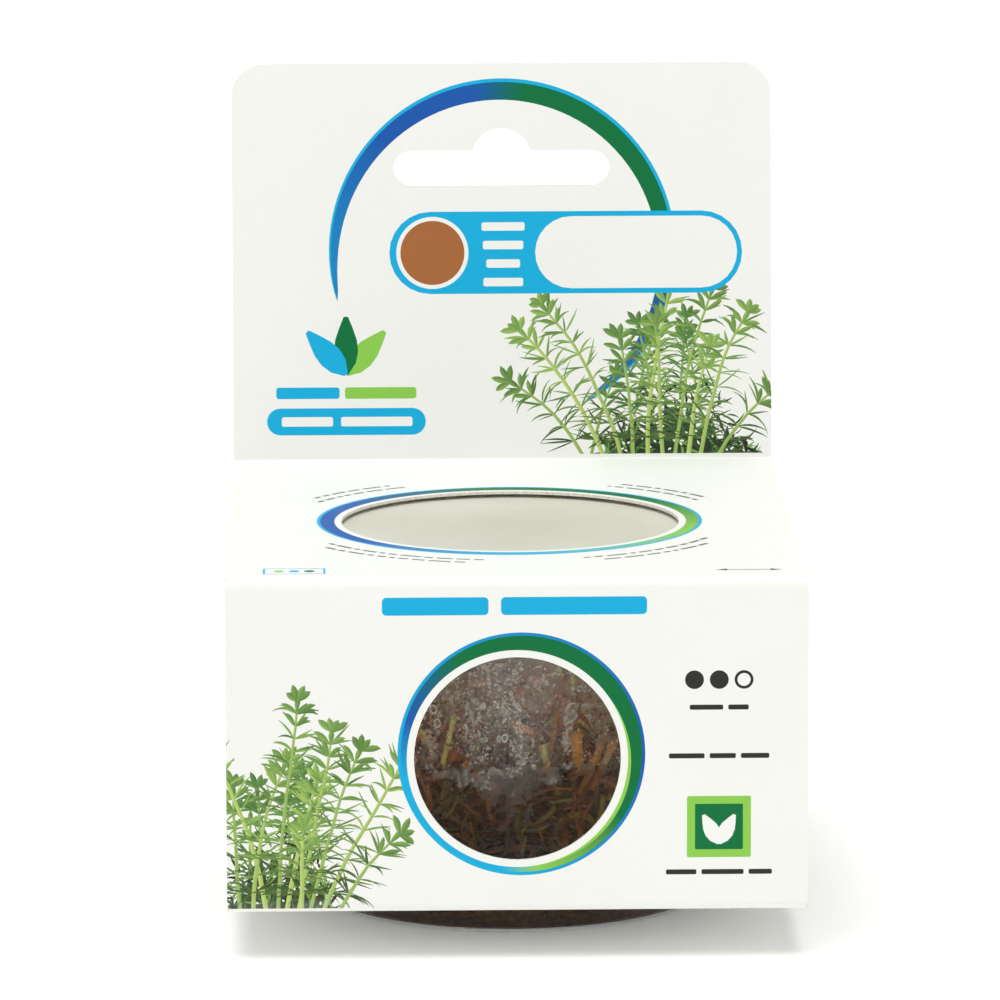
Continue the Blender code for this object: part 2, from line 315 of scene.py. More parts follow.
def printed_board():
    """Coated folding boxboard, offset printed and varnished: satin, with a faint paper tooth."""
    material, tree, shader = new_material("printed coated board", {
        "Roughness": 0.45, "IOR": 1.45, "Specular IOR Level": 0.2})
    cloud = object_noise(tree, 14.0, 3.0)
    tooth = object_noise(tree, 0.35, 3.0, 0.6)
    shade = srgb("#fafaf9")
    ink = painted(tree, "ink").outputs["Color"]
    mottled = noise_mix(tree, cloud, 0.35, 0.65, ink, shade, 0.3, "MULTIPLY")
    speckled = noise_mix(tree, tooth, 0.35, 0.7, mottled, shade, 0.5, "MULTIPLY")
    broken = object_noise(tree, 2.5, 3.0, 0.6)
    wear = ramp_between(tree, broken.outputs["Fac"], 0.35, 0.7, 0.02, 0.14)
    worn = combine(tree, "MULTIPLY", painted(tree, "crease").outputs["Fac"], wear)
    final = mix_colour(tree, worn, speckled, srgb("#eeefeb"))
    tree.links.new(final, shader.inputs["Base Color"])
    gloss = ramp_between(tree, cloud.outputs["Fac"], 0.3, 0.7, 0.4, 0.5)
    tree.links.new(gloss, shader.inputs["Roughness"])
    add_bump(tree, shader, tooth.outputs["Fac"], 0.012, 0.4)
    return material


def raw_board(sleeve):
    """The same board's uncoated inner side: matt, fibrous and a little grey."""
    material, tree, shader = new_material("uncoated board", {"Roughness": 0.85})
    fibre = object_noise(tree, 1.2, 5.0, 0.65, (1.0, 0.25, 1.0))
    shade = noise_mix(tree, fibre, 0.3, 0.7, sleeve.raw_board, srgb("#eeece5"))
    tree.links.new(shade, shader.inputs["Base Color"])
    add_bump(tree, shader, fibre.outputs["Fac"], 0.03, 0.6)
    return material


def cut_edge():
    """The die-cut edge of the board: matt layers of pale fibre."""
    material, tree, shader = new_material("die-cut board edge", {"Roughness": 0.9})
    layers = object_noise(tree, 0.5, 4.0, 0.7)
    shade = noise_mix(tree, layers, 0.35, 0.65, srgb("#cfcbbd"), srgb("#efede4"))
    tree.links.new(shade, shader.inputs["Base Color"])
    add_bump(tree, shader, layers.outputs["Fac"], 0.05, 0.8)
    return material


def clear_plastic(cup):
    """Thermoformed clear polypropylene: glossy, with the faint waves of the forming."""
    material, tree, shader = new_material("clear polypropylene", {
        "Base Color": tuple(cup.plastic), "Roughness": 0.03, "IOR": PLASTIC_IOR,
        "Transmission Weight": 1.0, "Specular Tint": srgb("#8c8c8c")})
    waves = object_noise(tree, 9.0, 2.0, 0.5, (1.0, 1.0, 0.3))
    add_bump(tree, shader, waves.outputs["Fac"], 0.06, 0.4)
    return material


def fogged_plastic():
    """The cup's inner wall: blurred where the fog is thin, and whitish where it is dense."""
    material, tree, shader = new_material("fogged polypropylene", {
        "Base Color": srgb("#f8f2ea"), "IOR": PLASTIC_IOR})
    ragged = object_noise(tree, 1.2, 4.0, 0.65)
    lift = ramp_between(tree, ragged.outputs["Fac"], 0.3, 0.7, -0.32, 0.32)
    level = combine(tree, "ADD", painted(tree, "fog").outputs["Fac"], lift)
    grain = object_noise(tree, 0.36, 2.0, 0.5)
    fine = ramp_between(tree, grain.outputs["Fac"], 0.42, 0.6, 0.5, 1.0)
    haze = combine(tree, "MULTIPLY", ramp_between(tree, level, 0.32, 1.0, 0.0, 0.75), fine)
    tree.links.new(ramp_between(tree, haze, 0.0, 1.0, 1.0, 0.4),
                   shader.inputs["Transmission Weight"])
    tree.links.new(ramp_between(tree, level, 0.0, 0.7, 0.05, 0.5), shader.inputs["Roughness"])
    return material


def dew():
    """Water condensed on the wall: fine beads, so small that they scatter most light."""
    return new_material("condensed water", {
        "Base Color": srgb("#fbf6ec"), "Roughness": 0.3, "IOR": WATER_IOR,
        "Transmission Weight": 0.1})[0]


def clear_water():
    """The larger drops that have run together: clear, their rims an opaque white as a painted
    highlight.
    """
    material, tree, shader = new_material("water drops", {
        "Base Color": srgb("#fffdf2"), "Roughness": 0.0, "IOR": WATER_IOR})
    rim = painted(tree, "rim").outputs["Fac"]
    tree.links.new(ramp_between(tree, rim, 0.1, 0.9, 1.0, 0.0),
                   shader.inputs["Transmission Weight"])
    return material


def milky_plastic(cup):
    """Injection moulded polyethylene: milky, its sunk middle darker with painted shade over the cup's
    inside.
    """
    material, tree, shader = new_material("milky polyethylene", {
        "Roughness": 0.45, "IOR": 1.51, "Transmission Weight": 0.4})
    cloud = object_noise(tree, 10.0, 3.0)
    peel = object_noise(tree, 0.7, 2.0)
    specks = object_noise(tree, 1.3, 1.0)
    tone = noise_mix(tree, cloud, 0.35, 0.65, tuple(cup.milky), srgb("#f0efe2"))
    place = add_node(tree, "ShaderNodeTexCoord").outputs["Object"]
    flat = add_node(tree, "ShaderNodeVectorMath", {"operation": "MULTIPLY", 1: (1.0, 1.0, 0.0)},
                    {0: place})
    reach = add_node(tree, "ShaderNodeVectorMath", {"operation": "LENGTH"},
                     {0: flat.outputs["Vector"]})
    # painted shade: the lid darker towards its middle, where the cup's dark inside lies beneath
    painted_shade = ramp_between(tree, reach.outputs["Value"], 6 * MM, 26 * MM, 0.6, 0.0)
    tone_with_painted_shade = mix_colour(tree, painted_shade, tone, srgb("#d7d4c0"))
    dust = noise_mix(tree, specks, 0.80, 0.83, tone_with_painted_shade, srgb("#8a7b5c"), 0.5)
    tree.links.new(dust, shader.inputs["Base Color"])
    add_bump(tree, shader, peel.outputs["Fac"], 0.02, 0.5)
    return material


def agar(cup):
    """Clear agar gel, stained amber by the plants: wet gloss outside, darker with depth."""
    material, tree, shader = new_material("agar gel", {
        "Base Color": tuple(cup.gel), "Roughness": 0.03, "IOR": 1.335,
        "Transmission Weight": 1.0})
    absorb = add_node(tree, "ShaderNodeVolumeAbsorption", {
        "Color": srgb("#b8642a"), "Density": 38.0})
    tree.links.new(absorb.outputs["Volume"], tree.nodes["Material Output"].inputs["Volume"])
    ripple = object_noise(tree, 5.0, 2.0)
    add_bump(tree, shader, ripple.outputs["Fac"], 0.15, 0.5)
    return material


def root_fibre():
    """Matted fine roots and old leaves in the gel: dark, wet and fibrous."""
    material, tree, shader = new_material("matted roots", {"Roughness": 0.5})
    fibre = object_noise(tree, 0.9, 5.0, 0.7, (1.0, 1.0, 2.5))
    shade = noise_mix(tree, fibre, 0.35, 0.65, srgb("#33200d"), srgb("#7d572c"))
    tree.links.new(shade, shader.inputs["Base Color"])
    add_bump(tree, shader, fibre.outputs["Fac"], 0.3, 1.0)
    return material


def leaf_tissue():
    """Soft living leaf: satin, a little translucent, its colour and painted light running from foot to
    tip.
    """
    material, tree, shader = new_material("rotala leaf", {
        "Roughness": 0.38, "IOR": 1.42, "Subsurface Weight": 0.12, "Subsurface Scale": 0.0008})
    blotch = object_noise(tree, 1.1, 3.0, 0.6)
    tint = painted(tree, "tint").outputs["Color"]
    shade = noise_mix(tree, blotch, 0.4, 0.7, tint, srgb("#3a1f12"), 0.35)
    tree.links.new(shade, shader.inputs["Base Color"])
    add_bump(tree, shader, blotch.outputs["Fac"], 0.08, 0.5)
    return material


def pale_floor(stage):
    """A back-lit white acrylic table, as for product pictures: matt and almost shadowless."""
    material, tree, shader = new_material("white acrylic table", {
        "Roughness": 0.8, "Emission Color": (1.0, 1.0, 1.0, 1.0),
        "Emission Strength": stage.glow})
    cloud = object_noise(tree, 120.0, 2.0)
    shade = noise_mix(tree, cloud, 0.3, 0.7, tuple(stage.floor), srgb("#efefec"), 0.3)
    tree.links.new(shade, shader.inputs["Base Color"])
    return material


# The sleeve's blank: X across, S along the strip from the header's front edge to its back edge

class Blank:
    """The flat blank in millimetres, and how it folds round the cup."""

    def __init__(self, sleeve):
        self.sleeve = sleeve
        self.half = (SLEEVE_HIGH.x - SLEEVE_LOW.x) / 2 / MM
        self.top = LID_HIGH.z + GAP + sleeve.card
        self.low = SLEEVE_LOW.z
        self.front = SLEEVE_LOW.y
        self.back = SLEEVE_HIGH.y - sleeve.header_length * math.sin(sleeve.lean)
        self.path = self.fold_path()
        self.marks = [point[0] for point in self.path]

    def fold_path(self):
        """(S, y, z, crease, mark) along the outer face; S in millimetres, y and z in metres."""
        sleeve = self.sleeve
        plies = 2 * sleeve.card
        radius = sleeve.fold_radius
        blend = 1.1 * MM                 # beside a fold, where its wear fades out
        along = (math.sin(sleeve.lean), math.cos(sleeve.lean))
        tip = (self.back + sleeve.header_length * along[0],
               self.top + sleeve.header_length * along[1])
        foot = (self.back - plies / math.cos(sleeve.lean), self.top)
        points = [(tip[0] - plies * along[1], tip[1] + plies * along[0], 0, "header top")]
        points.append((foot[0] + blend * along[0], foot[1] + blend * along[1], 0, ""))
        points.append((*foot, 1, "header foot"))
        points.append((foot[0] - blend, foot[1], 0, ""))
        corners = (
            (self.front + radius, self.top - radius, 90, "front top"),
            (self.front + radius, self.low + radius, 180, "front low"),
            (self.back - radius, self.low + radius, 270, "back low"))
        for y, z, start, mark in corners:
            turn = arc((y, z), radius, start, start + 90, 6)
            run = {90: (blend, 0), 180: (0, blend), 270: (-blend, 0)}[start]
            points.append((turn[0][0] + run[0], turn[0][1] + run[1], 0, ""))
            points += [(*point, 1, mark if point == turn[-1] else "") for point in turn]
            leave = {90: (0, -blend), 180: (blend, 0), 270: (0, blend)}[start]
            points.append((turn[-1][0] + leave[0], turn[-1][1] + leave[1], 0, ""))
        points.append((self.back, self.top - blend, 0, ""))
        points.append((self.back, self.top, 0.5, "back top"))
        points.append((self.back + blend * along[0], self.top + blend * along[1], 0, ""))
        points.append((*tip, 0, "back edge"))
        path = []
        run = 0.0
        for index, (y, z, crease, mark) in enumerate(points):
            if index:
                run += math.dist((y, z), points[index - 1][:2]) / MM
            path.append((run, y, z, crease, mark))
        return path

    def at(self, mark):
        """How far along the blank a fold lies."""
        return next(point[0] for point in self.path if point[4] == mark)

    def header(self, x, up):
        """A point of the header's printed front."""
        return (x, self.at("header foot") - up)

    def top_panel(self, x, y):
        """A point of the top panel, from the cup's axis."""
        return (x, self.at("header foot") + self.path[2][1] / MM - y)

    def front_panel(self, x, up):
        """A point of the front panel."""
        return (x, self.at("front top") + (self.top - self.sleeve.fold_radius - self.low) / MM - up)

    def bottom_panel(self, x, y):
        """A point of the bottom panel, from the cup's axis."""
        return (x, self.at("front low") + y - (self.front + self.sleeve.fold_radius) / MM)

    def header_back(self, x, up):
        """A point of the header's back ply."""
        return (x, self.at("back top") + up)

    def fold(self, x, s):
        """Where a point of the blank's outer face lies on the folded sleeve, and its crease."""
        index = min(max(bisect.bisect_right(self.marks, s + 1e-4) - 1, 0), len(self.path) - 2)
        first, second = self.path[index], self.path[index + 1]
        part = ramp(s, first[0], second[0])
        y = first[1] + (second[1] - first[1]) * part
        z = first[2] + (second[2] - first[2]) * part
        return Vector((x * MM, y, z)), first[3] + (second[3] - first[3]) * part


def laid(place, points):
    """An outline on a panel as an outline on the blank."""
    return [place(x, up) for x, up in points]


def circle(centre, radius, steps=96):
    """The outline of a circle."""
    return arc(centre, radius, 0, 360, steps)[:-1]


def band(centre, inner, outer, start, end, steps=72):
    """A stretch of a ring; a radius is a number or a function of the angle in degrees."""
    edges = []
    for radius in (outer, inner):
        edge = []
        for step in range(steps + 1):
            angle = start + (end - start) * step / steps
            reach = radius(angle) if callable(radius) else radius
            turn = math.radians(angle)
            edge.append((centre[0] + reach * math.cos(turn), centre[1] + reach * math.sin(turn)))
        edges.append(edge)
    return edges[0] + edges[1][::-1]


def bar(x, up, width, height, radius=None):
    """A bar with round corners, from its lower left corner."""
    radius = min(width, height) / 2 if radius is None else radius
    right, top = x + width - radius, up + height - radius
    points = []
    for corner, start in (((right, up + radius), -90), ((right, top), 0),
                          ((x + radius, top), 90), ((x + radius, up + radius), 180)):
        points += arc(corner, radius, start, start + 90, 6)
    return points


HAT_RADIUS, HAT_RISE = 4.4, 3.3      # mm, the dome over the hang slot
NOTCH_DEPTH, NOTCH_STEP = 0.25, 0.4  # mm, where the board's edge is eased at a fold
INSIDE_ONLY = 1                      # the triangulation leaves out all but the outlines
SAME_PLACE = 1e-5                    # mm


def slot_outline(sleeve):
    """The hang slot: round-ended, with a domed hat."""
    half = sleeve.slot_height / 2 / MM
    reach = sleeve.slot_width / 2 / MM - half
    middle = sleeve.slot_middle / MM
    sunk = HAT_RADIUS - HAT_RISE
    spread = math.degrees(math.acos(sunk / HAT_RADIUS))
    points = arc((reach, middle), half, -90, 90, 12)
    points += arc((0, middle + half - sunk), HAT_RADIUS, 90 - spread, 90 + spread, 18)
    points += arc((-reach, middle), half, 90, 270, 12)
    return points


class Panel:
    """A panel of the blank to print on: each shape covers the ones before it."""

    def __init__(self, shapes, place):
        self.shapes = shapes
        self.place = place

    def fill(self, points, ink):
        """Print an outline in one ink, or in an ink that varies over the blank."""
        self.shapes.append((laid(self.place, points), ink))

    def sweep(self, centre, stops):
        """An ink that runs round a centre through (degrees, colour) stops, in rising order."""
        middle = self.place(*centre)

        def ink(x, s):
            """The colour at a point of the blank."""
            angle = math.degrees(math.atan2(middle[1] - s, x - middle[0]))
            angle = (angle - stops[0][0]) % 360 + stops[0][0]
            for (low, first), (high, second) in zip(stops, stops[1:]):
                if angle <= high:
                    return blend_colours(first, second, (angle - low) / (high - low))
            return stops[-1][1]

        return ink

    def ring(self, centre, inner, thick, thin, heading, line, band_stops, line_stops):
        """A ring, broadest at a heading: a band whose colour runs round it, and a line."""
        def edge(angle):
            """Where the band ends and the line begins."""
            part = 0.5 + 0.5 * math.cos(math.radians(angle - heading))
            return inner + thin + (thick - thin) * part

        band_ink, line_ink = self.sweep(centre, band_stops), self.sweep(centre, line_stops)
        for start, end in ((0, 180), (180, 360)):
            self.fill(band(centre, inner, edge, start, end), band_ink)
            self.fill(band(centre, edge, lambda angle: edge(angle) + line, start, end), line_ink)


FRONT_LEAF, BACK_LEAF = 4.6, 3.9     # mm, a drawn leaf of a front spray and of a back spray
# The whorls at a drawn stem's end: joints below it, leaves, and a leaf's length and width (mm)
TIP_TIERS = ((2, 2, 3.0, 0.7), (1, 3, 3.0, 0.8), (0, 4, 2.9, 0.95))


class PrintedPlants:
    """Flat drawn water plants: pale stems, tiers of thin arching leaves and broad-leaved tips."""

    def __init__(self, panel, seed, inks):
        self.panel = panel
        self.draw = random.Random(seed)
        self.inks = inks

    def leaf(self, foot, angle, reach, width, bend, ink, shade=None, fullness=0.8, steps=5):
        """One leaf along a curved midrib, its lower half in a darker ink if given."""
        rib, left, right = [], [], []
        x, up = foot
        for step in range(steps + 1):
            part = step / steps
            heading = angle + bend * part
            half = width / 2 * max(math.sin(math.pi * part ** fullness), 0.12) ** 0.8
            rib.append((x, up))
            left.append((x - half * math.sin(heading), up + half * math.cos(heading)))
            right.append((x + half * math.sin(heading), up - half * math.cos(heading)))
            x += reach / steps * math.cos(heading)
            up += reach / steps * math.sin(heading)
        if shade:
            self.panel.fill(rib + left[-2:0:-1], ink)
            self.panel.fill(rib + right[-2:0:-1], shade)
        else:
            self.panel.fill(left + right[::-1], ink)

    def path(self, x, height, lean):
        """The joints of a leaning stem: across, up and heading."""
        steps = max(6, round(height / 2.1))
        heading = math.radians(90 - lean * 0.55)
        turn = -math.radians(lean * 0.7) / steps
        up = 0.2
        joints = [(x, up, heading)]
        for step in range(steps):
            heading += turn + self.draw.uniform(-0.07, 0.07)
            stride = height / steps * (1.25 - 0.5 * step / steps)
            x += stride * math.cos(heading)
            up += stride * math.sin(heading)
            joints.append((x, up, heading))
        return joints

    def tiers(self, joints, leaf, light, dark):
        """The thin leaves up both sides of a stem, dimmer towards its foot."""
        draw = self.draw
        for index, (x, up, heading) in enumerate(joints[1:-1], 1):
            part = index / (len(joints) - 1)
            dim = 0.9 * max(0.0, 1.0 - up / 11.0)
            for way in (1, -1):
                for _ in range(draw.choice((2, 2, 3))):
                    spread = math.radians(draw.uniform(44, 96) * (1.0 - 0.35 * part))
                    size = leaf * draw.uniform(0.6, 1.15) * (1.0 - 0.25 * part)
                    width = draw.uniform(0.17, 0.32) * (1.0 + 1.1 * part ** 3)
                    tone = blend_colours(light, dark, draw.random())
                    self.leaf((x, up), heading + way * spread, size, width,
                              way * draw.uniform(-0.3, 1.5),
                              blend_colours(tone, self.inks["shade"], dim))

    def stem(self, joints, depth):
        """A tapering stem, one half in a darker ink."""
        steps = len(joints) - 1
        sides = []
        for way in (1, 0, -1):
            side = []
            for index, (x, up, heading) in enumerate(joints):
                half = way * (0.34 - 0.16 * index / steps) * (0.75 + 0.25 * depth)
                side.append((x - half * math.sin(heading), up + half * math.cos(heading)))
            sides.append(side)
        ink = blend_colours(self.inks["mid"], self.inks["stem"], 0.3 + 0.7 * depth)
        self.panel.fill(sides[0] + sides[1][::-1], ink)
        self.panel.fill(sides[1] + sides[2][::-1], blend_colours(ink, self.inks["mid"], 0.35))

    def tip(self, joints, leaf, light, dark):
        """The broad two-toned leaves in tiers at a stem's end."""
        draw = self.draw
        for tier, count, size, width in TIP_TIERS:
            x, up, heading = joints[-1 - tier]
            for index in range(count):
                spread = math.radians(draw.uniform(24, 38) * (index - (count - 1) / 2)
                                      * (1.0 + 0.5 * tier))
                tone = blend_colours(light, dark, draw.uniform(0.0, 0.6))
                self.leaf((x, up), heading + spread,
                          size * leaf / FRONT_LEAF * draw.uniform(0.7, 1.1),
                          width * leaf / FRONT_LEAF, draw.uniform(0.2, 0.9) * spread, tone,
                          blend_colours(tone, dark, 0.5), 1.3)

    def spray(self, x, height, lean, leaf, depth):
        """An arching stem with its leaves; depth 0 is a dark back spray, 1 a light front one."""
        light = blend_colours(self.inks["mid"], self.inks["light"], depth)
        dark = blend_colours(self.inks["dark"], self.inks["mid"], 0.7 * depth)
        joints = self.path(x, height, lean)
        self.tiers(joints, leaf, light, dark)
        self.stem(joints, depth)
        self.tip(joints, leaf, light, dark)

    def thicket(self, left, right, height):
        """The shade at the foot of the clump: a ragged dark mass with leaves and pale gaps."""
        draw, inks = self.draw, self.inks
        steps = round((right - left) * 1.3)
        ragged = []
        for step in range(steps + 1):
            part = step / steps
            rise = height * (0.3 + 0.5 * draw.random()) * (1.0 - abs(2 * part - 1) ** 2.5)
            ragged.append((left + (right - left) * part, max(rise, 0.3)))
        middle = self.panel.place(0, height * 0.6)[1]
        low = self.panel.place(0, 0)[1]

        def ink(_, s):
            """Darkest along the fold."""
            return blend_colours(inks["shade"], inks["dark"], 0.6 * ramp(s, low, middle))

        self.panel.fill([(left, 0.0)] + ragged + [(right, 0.0)], ink)
        for _ in range(round(10.0 * (right - left))):
            part = draw.random()
            rise = height * draw.random() ** 1.2 * (1.0 - abs(2 * part - 1) ** 3)
            tone = inks[draw.choice(("shade", "dark", "dark", "mid", "earth"))]
            self.leaf((left + (right - left) * part, rise), draw.uniform(-0.4, math.pi + 0.4),
                      draw.uniform(1.5, 3.8), draw.uniform(0.2, 0.5), draw.uniform(-1.2, 1.2), tone)
        for _ in range(round(3.5 * (right - left))):
            part = draw.uniform(0.06, 0.94)
            self.leaf((left + (right - left) * part, height * draw.uniform(0.08, 0.8)),
                      draw.uniform(0, math.pi), draw.uniform(0.3, 0.7), 0.3, 0.0, inks["gap"])


PLANT_INKS = {name: srgb(text) for name, text in (
    ("light", "#9cbb60"), ("mid", "#6d9647"), ("dark", "#3d6036"), ("stem", "#b4c76f"),
    ("shade", "#222c1c"), ("earth", "#3a3824"))}
SPRAY_DEPTHS = (0.3, 1.0, 0.65)


def plant_bed(panel, sprays, base, seed, board):
    """A clump of drawn plants, back to front, above a bare margin along the fold."""
    plants = PrintedPlants(panel, seed, {**PLANT_INKS, "gap": board})
    for x, height, lean in sprays[::2]:
        plants.spray(x + 1.1, height * 0.8, -0.5 * lean, BACK_LEAF, 0.0)
    plants.thicket(*base)
    for index, (x, height, lean) in enumerate(sprays):
        plants.spray(x, height, lean, FRONT_LEAF, SPRAY_DEPTHS[index % len(SPRAY_DEPTHS)])
    panel.fill(bar(-41.0, -3.4, 82.0, 4.0, 0.1), board)


def fan(panel, foot, reach, width, blades):
    """Broad blades from one foot, each at its heading in degrees and in its own ink."""
    plants = PrintedPlants(panel, 0, PLANT_INKS)
    for heading, ink in blades:
        plants.leaf(foot, math.radians(heading), reach, width, 0.0, ink)


# The print is drawn in millimetres: across from a panel's middle, and up from its lower fold
# or back from the middle of the top hole. Each drawn spray has its foot, height and lean in
# degrees, each thicket its left and right ends and height, and each curved line of small
# print its radius and its first and last degree.
FRONT_SPRAYS = (
    (-38.2, 17, -8), (-34.6, 27, -18), (-36.4, 21, 6), (-33.0, 29, 2), (-31.8, 18, 20),
    (-30.2, 25, 12), (-28.6, 23, 24), (-29.8, 11, 4), (-26.8, 24, 40), (-24.6, 13, 46))
FRONT_THICKET = (-39.8, -25.5, 12.0)
HEADER_SPRAYS = (
    (12.0, 15, -52), (15.0, 22, -36), (17.6, 25, -18), (19.4, 17, -8), (21.6, 24, 4),
    (23.8, 19, -6), (25.6, 25, 10), (27.6, 16, 16), (29.4, 22, 22), (32.0, 13, 40))
HEADER_THICKET = (15.0, 36.5, 11.0)
SMALL_PRINT = (
    (30.6, 214, 262), (32.8, 218, 258), (30.6, 288, 332), (32.8, 292, 326),
    (31.2, 30, 62), (33.4, 33, 60), (31.2, 118, 150), (33.4, 120, 146))
SMALL_PRINT_INK = srgb("#6f716e")
WORD_HEIGHT, WORD_SPACE = 0.7, 0.7


def print_front(panel, sleeve, inks):
    """Front panel: title bars, ring, plants, rating dots and a plain square sign."""
    centre = (0.0, sleeve.window_height / MM)
    white, inner, side = 15.3, 15.2, 27.7
    plant_bed(panel, FRONT_SPRAYS, FRONT_THICKET, 11, inks.board)
    panel.fill(circle(centre, white), inks.board)
    panel.ring(centre, inner, 2.2, 0.5, 50, 0.45,
               ((-80, inks.lime), (-30, inks.green), (120, inks.green), (160, inks.blue),
                (190, inks.azure), (262, inks.azure), (280, inks.lime)),
               ((-90, inks.azure), (0, inks.blue), (180, inks.azure), (270, inks.azure)))
    panel.fill(band(centre, inner, lambda angle: inner + 0.5 * math.sin(
        math.pi * (angle + 80) / 115), -80, 35), inks.lime)
    for x, width in ((-18.5, 14.6), (-2.2, 20.0)):
        panel.fill(bar(x, 41.6, width, 2.5, 0.6), inks.azure)
    for step in (-1, 0, 1):
        dot = (side + 3.4 * step, 32.4)
        panel.fill(circle(dot, 1.3, 32), inks.grey)
        if step == 1:
            panel.fill(circle(dot, 0.9, 32), inks.board)
    for up, words in ((28.2, (4.6, 2.8)), (21.4, (4.9, 3.6, 3.9)), (5.1, (4.2, 5.8, 3.2))):
        x = side - (sum(words) + WORD_SPACE * (len(words) - 1)) / 2
        for width in words:
            panel.fill(bar(x, up, width, WORD_HEIGHT, 0.2), inks.grey)
            x += width + WORD_SPACE
    panel.fill(bar(side - 4.4, 7.5, 8.8, 8.6, 0.2), inks.lime)
    panel.fill(bar(side - 3.3, 8.6, 6.6, 6.4, 0.2), inks.green)
    fan(panel, (side, 9.4), 4.6, 2.2, ((62, inks.board), (118, inks.board)))


def print_top(panel, sleeve, inks):
    """Top panel: a ring round the hole, small-print bars on curves and two plain signs."""
    middle = (0, 0)
    panel.ring(middle, sleeve.top_hole / MM + 1.0, 2.2, 1.6, 110, 0.5,
               ((-90, inks.azure), (-20, inks.lime), (40, inks.green), (100, inks.green),
                (150, inks.blue), (215, inks.blue), (270, inks.azure)),
               ((-90, inks.azure), (90, inks.azure), (180, inks.azure), (270, inks.azure)))
    draw = random.Random(8)
    for radius, angle, end in SMALL_PRINT:
        while angle < end:
            word = draw.uniform(1.4, 6.0)
            stop = min(angle + word, end)
            panel.fill(band(middle, radius, radius + WORD_HEIGHT, angle, stop, 4),
                       SMALL_PRINT_INK)
            angle += word + 1.0
    panel.fill(bar(-34.8, -40.6, 8.6, 4.2, 0.3), inks.azure)
    panel.fill(bar(-34.5, -40.3, 8.0, 3.6, 0.2), inks.board)
    for index, ink in enumerate((inks.lime, inks.azure, inks.green)):
        panel.fill(circle((-32.6 + 2.1 * index, -38.5), 0.75, 24), ink)
    panel.fill(bar(27.5, -39.4, 9.0, 0.35, 0.1), inks.grey)
    for x, way in ((27.5, 1), (36.5, -1)):
        panel.fill([(x, -39.2), (x + way * 1.5, -38.5), (x + way * 1.5, -39.9)], inks.grey)


def print_header(panel, inks):
    """Header: a two-coloured arch, a price field, plain name bars and a bed of plants."""
    arch, inner, outer = (0.0, 30.5), 25.4, 25.45
    start, end = -62, 196
    sea = blend_colours(inks.azure, inks.blue, 0.6)

    def taper(angle):
        """How thick the arch is, from 0 at its ends to 1."""
        return math.sin(math.pi * (angle - start) / (end - start)) ** 0.55

    panel.fill(band(arch, lambda angle: inner - 2.7 * taper(angle), outer, start, end),
               panel.sweep(arch, ((start, sea), (-30, inks.blue), (10, inks.green),
                                  (84, inks.green), (100, inks.blue), (135, inks.blue),
                                  (175, sea), (end, sea))))
    panel.fill(band(arch, inner, lambda angle: outer + 0.5 * taper(angle), start, end),
               inks.azure)
    plant_bed(panel, HEADER_SPRAYS, HEADER_THICKET, 23, inks.board)
    panel.fill(bar(-16.7, 24.5, 52.4, 12.2), inks.azure)
    panel.fill(circle((-10.3, 30.6), 5.35), inks.board)
    panel.fill(circle((-10.3, 30.6), 4.75), inks.brown)
    panel.fill(bar(4.95, 25.25, 30.0, 10.7), inks.board)
    for index, width in enumerate((6.4, 6.0, 5.0, 5.9)):
        panel.fill(bar(0.2 - width / 2, 33.85 - 2.75 * index, width, 1.25, 0.3), inks.board)
    fan(panel, (-23.2, 12.6), 8.6, 3.6, ((48, inks.lime), (90, inks.green), (132, inks.azure)))
    panel.fill(bar(-33.6, 9.0, 9.4, 1.7, 0.4), inks.azure)
    panel.fill(bar(-23.4, 9.0, 10.6, 1.7, 0.4), inks.lime)
    panel.fill(bar(-35.0, 3.6, 23.6, 4.0), inks.azure)
    for x, width in ((-32.8, 7.6), (-24.0, 10.6)):
        panel.fill(bar(x, 4.9, width, 1.4, 0.3), inks.board)


def blank_outline(blank, corner):
    """The blank's edge: round header corners at both ends and eased notches at the folds."""
    end = blank.path[-1][0]
    half = blank.half
    turn = math.pi / 4 * blank.sleeve.fold_radius / MM
    side = []
    for mark in ("front top", "front low", "back low"):
        middle = blank.at(mark) - turn
        for step in range(-4, 5):
            depth = NOTCH_DEPTH * (0.5 + 0.5 * math.cos(math.pi * step / 4))
            side.append((half - depth, middle + NOTCH_STEP * step))
    points = arc((-half + corner, corner), corner, 180, 270, 10)
    points += arc((half - corner, corner), corner, 270, 360, 10)
    points += side
    points += arc((half - corner, end - corner), corner, 0, 90, 10)
    points += arc((-half + corner, end - corner), corner, 90, 180, 10)
    points += [(-x, s) for x, s in reversed(side)]
    return points


def triangulate(blank, outlines):
    """Triangulate outlines over one another, cut along every fold line."""
    points, faces, edges = [], [], []
    for outline in outlines:
        area = sum(a[0] * b[1] - b[0] * a[1] for a, b in zip(outline, outline[1:] + outline[:1]))
        ordered = outline if area > 0 else outline[::-1]
        faces.append(list(range(len(points), len(points) + len(ordered))))
        points += [Vector(point) for point in ordered]
    for mark in blank.marks[1:-1]:
        edges.append((len(points), len(points) + 1))
        points += [Vector((-blank.half, mark)), Vector((blank.half, mark))]
    flat, _, pieces, _, _, sources = delaunay_2d_cdt(
        points, edges, faces, INSIDE_ONLY, SAME_PLACE, True)
    return flat, pieces, sources


def fold_up(bm, blank, flat, pieces):
    """Make the pieces of a flat triangulation faces of the folded outer surface."""
    crease = bm.verts.layers.float["crease"]
    verts = {}
    for index in sorted({index for piece in pieces for index in piece}):
        place, amount = blank.fold(flat[index].x, flat[index].y)
        verts[index] = bm.verts.new(place)
        verts[index][crease] = amount
    return [bm.faces.new([verts[index] for index in reversed(piece)]) for piece in pieces]


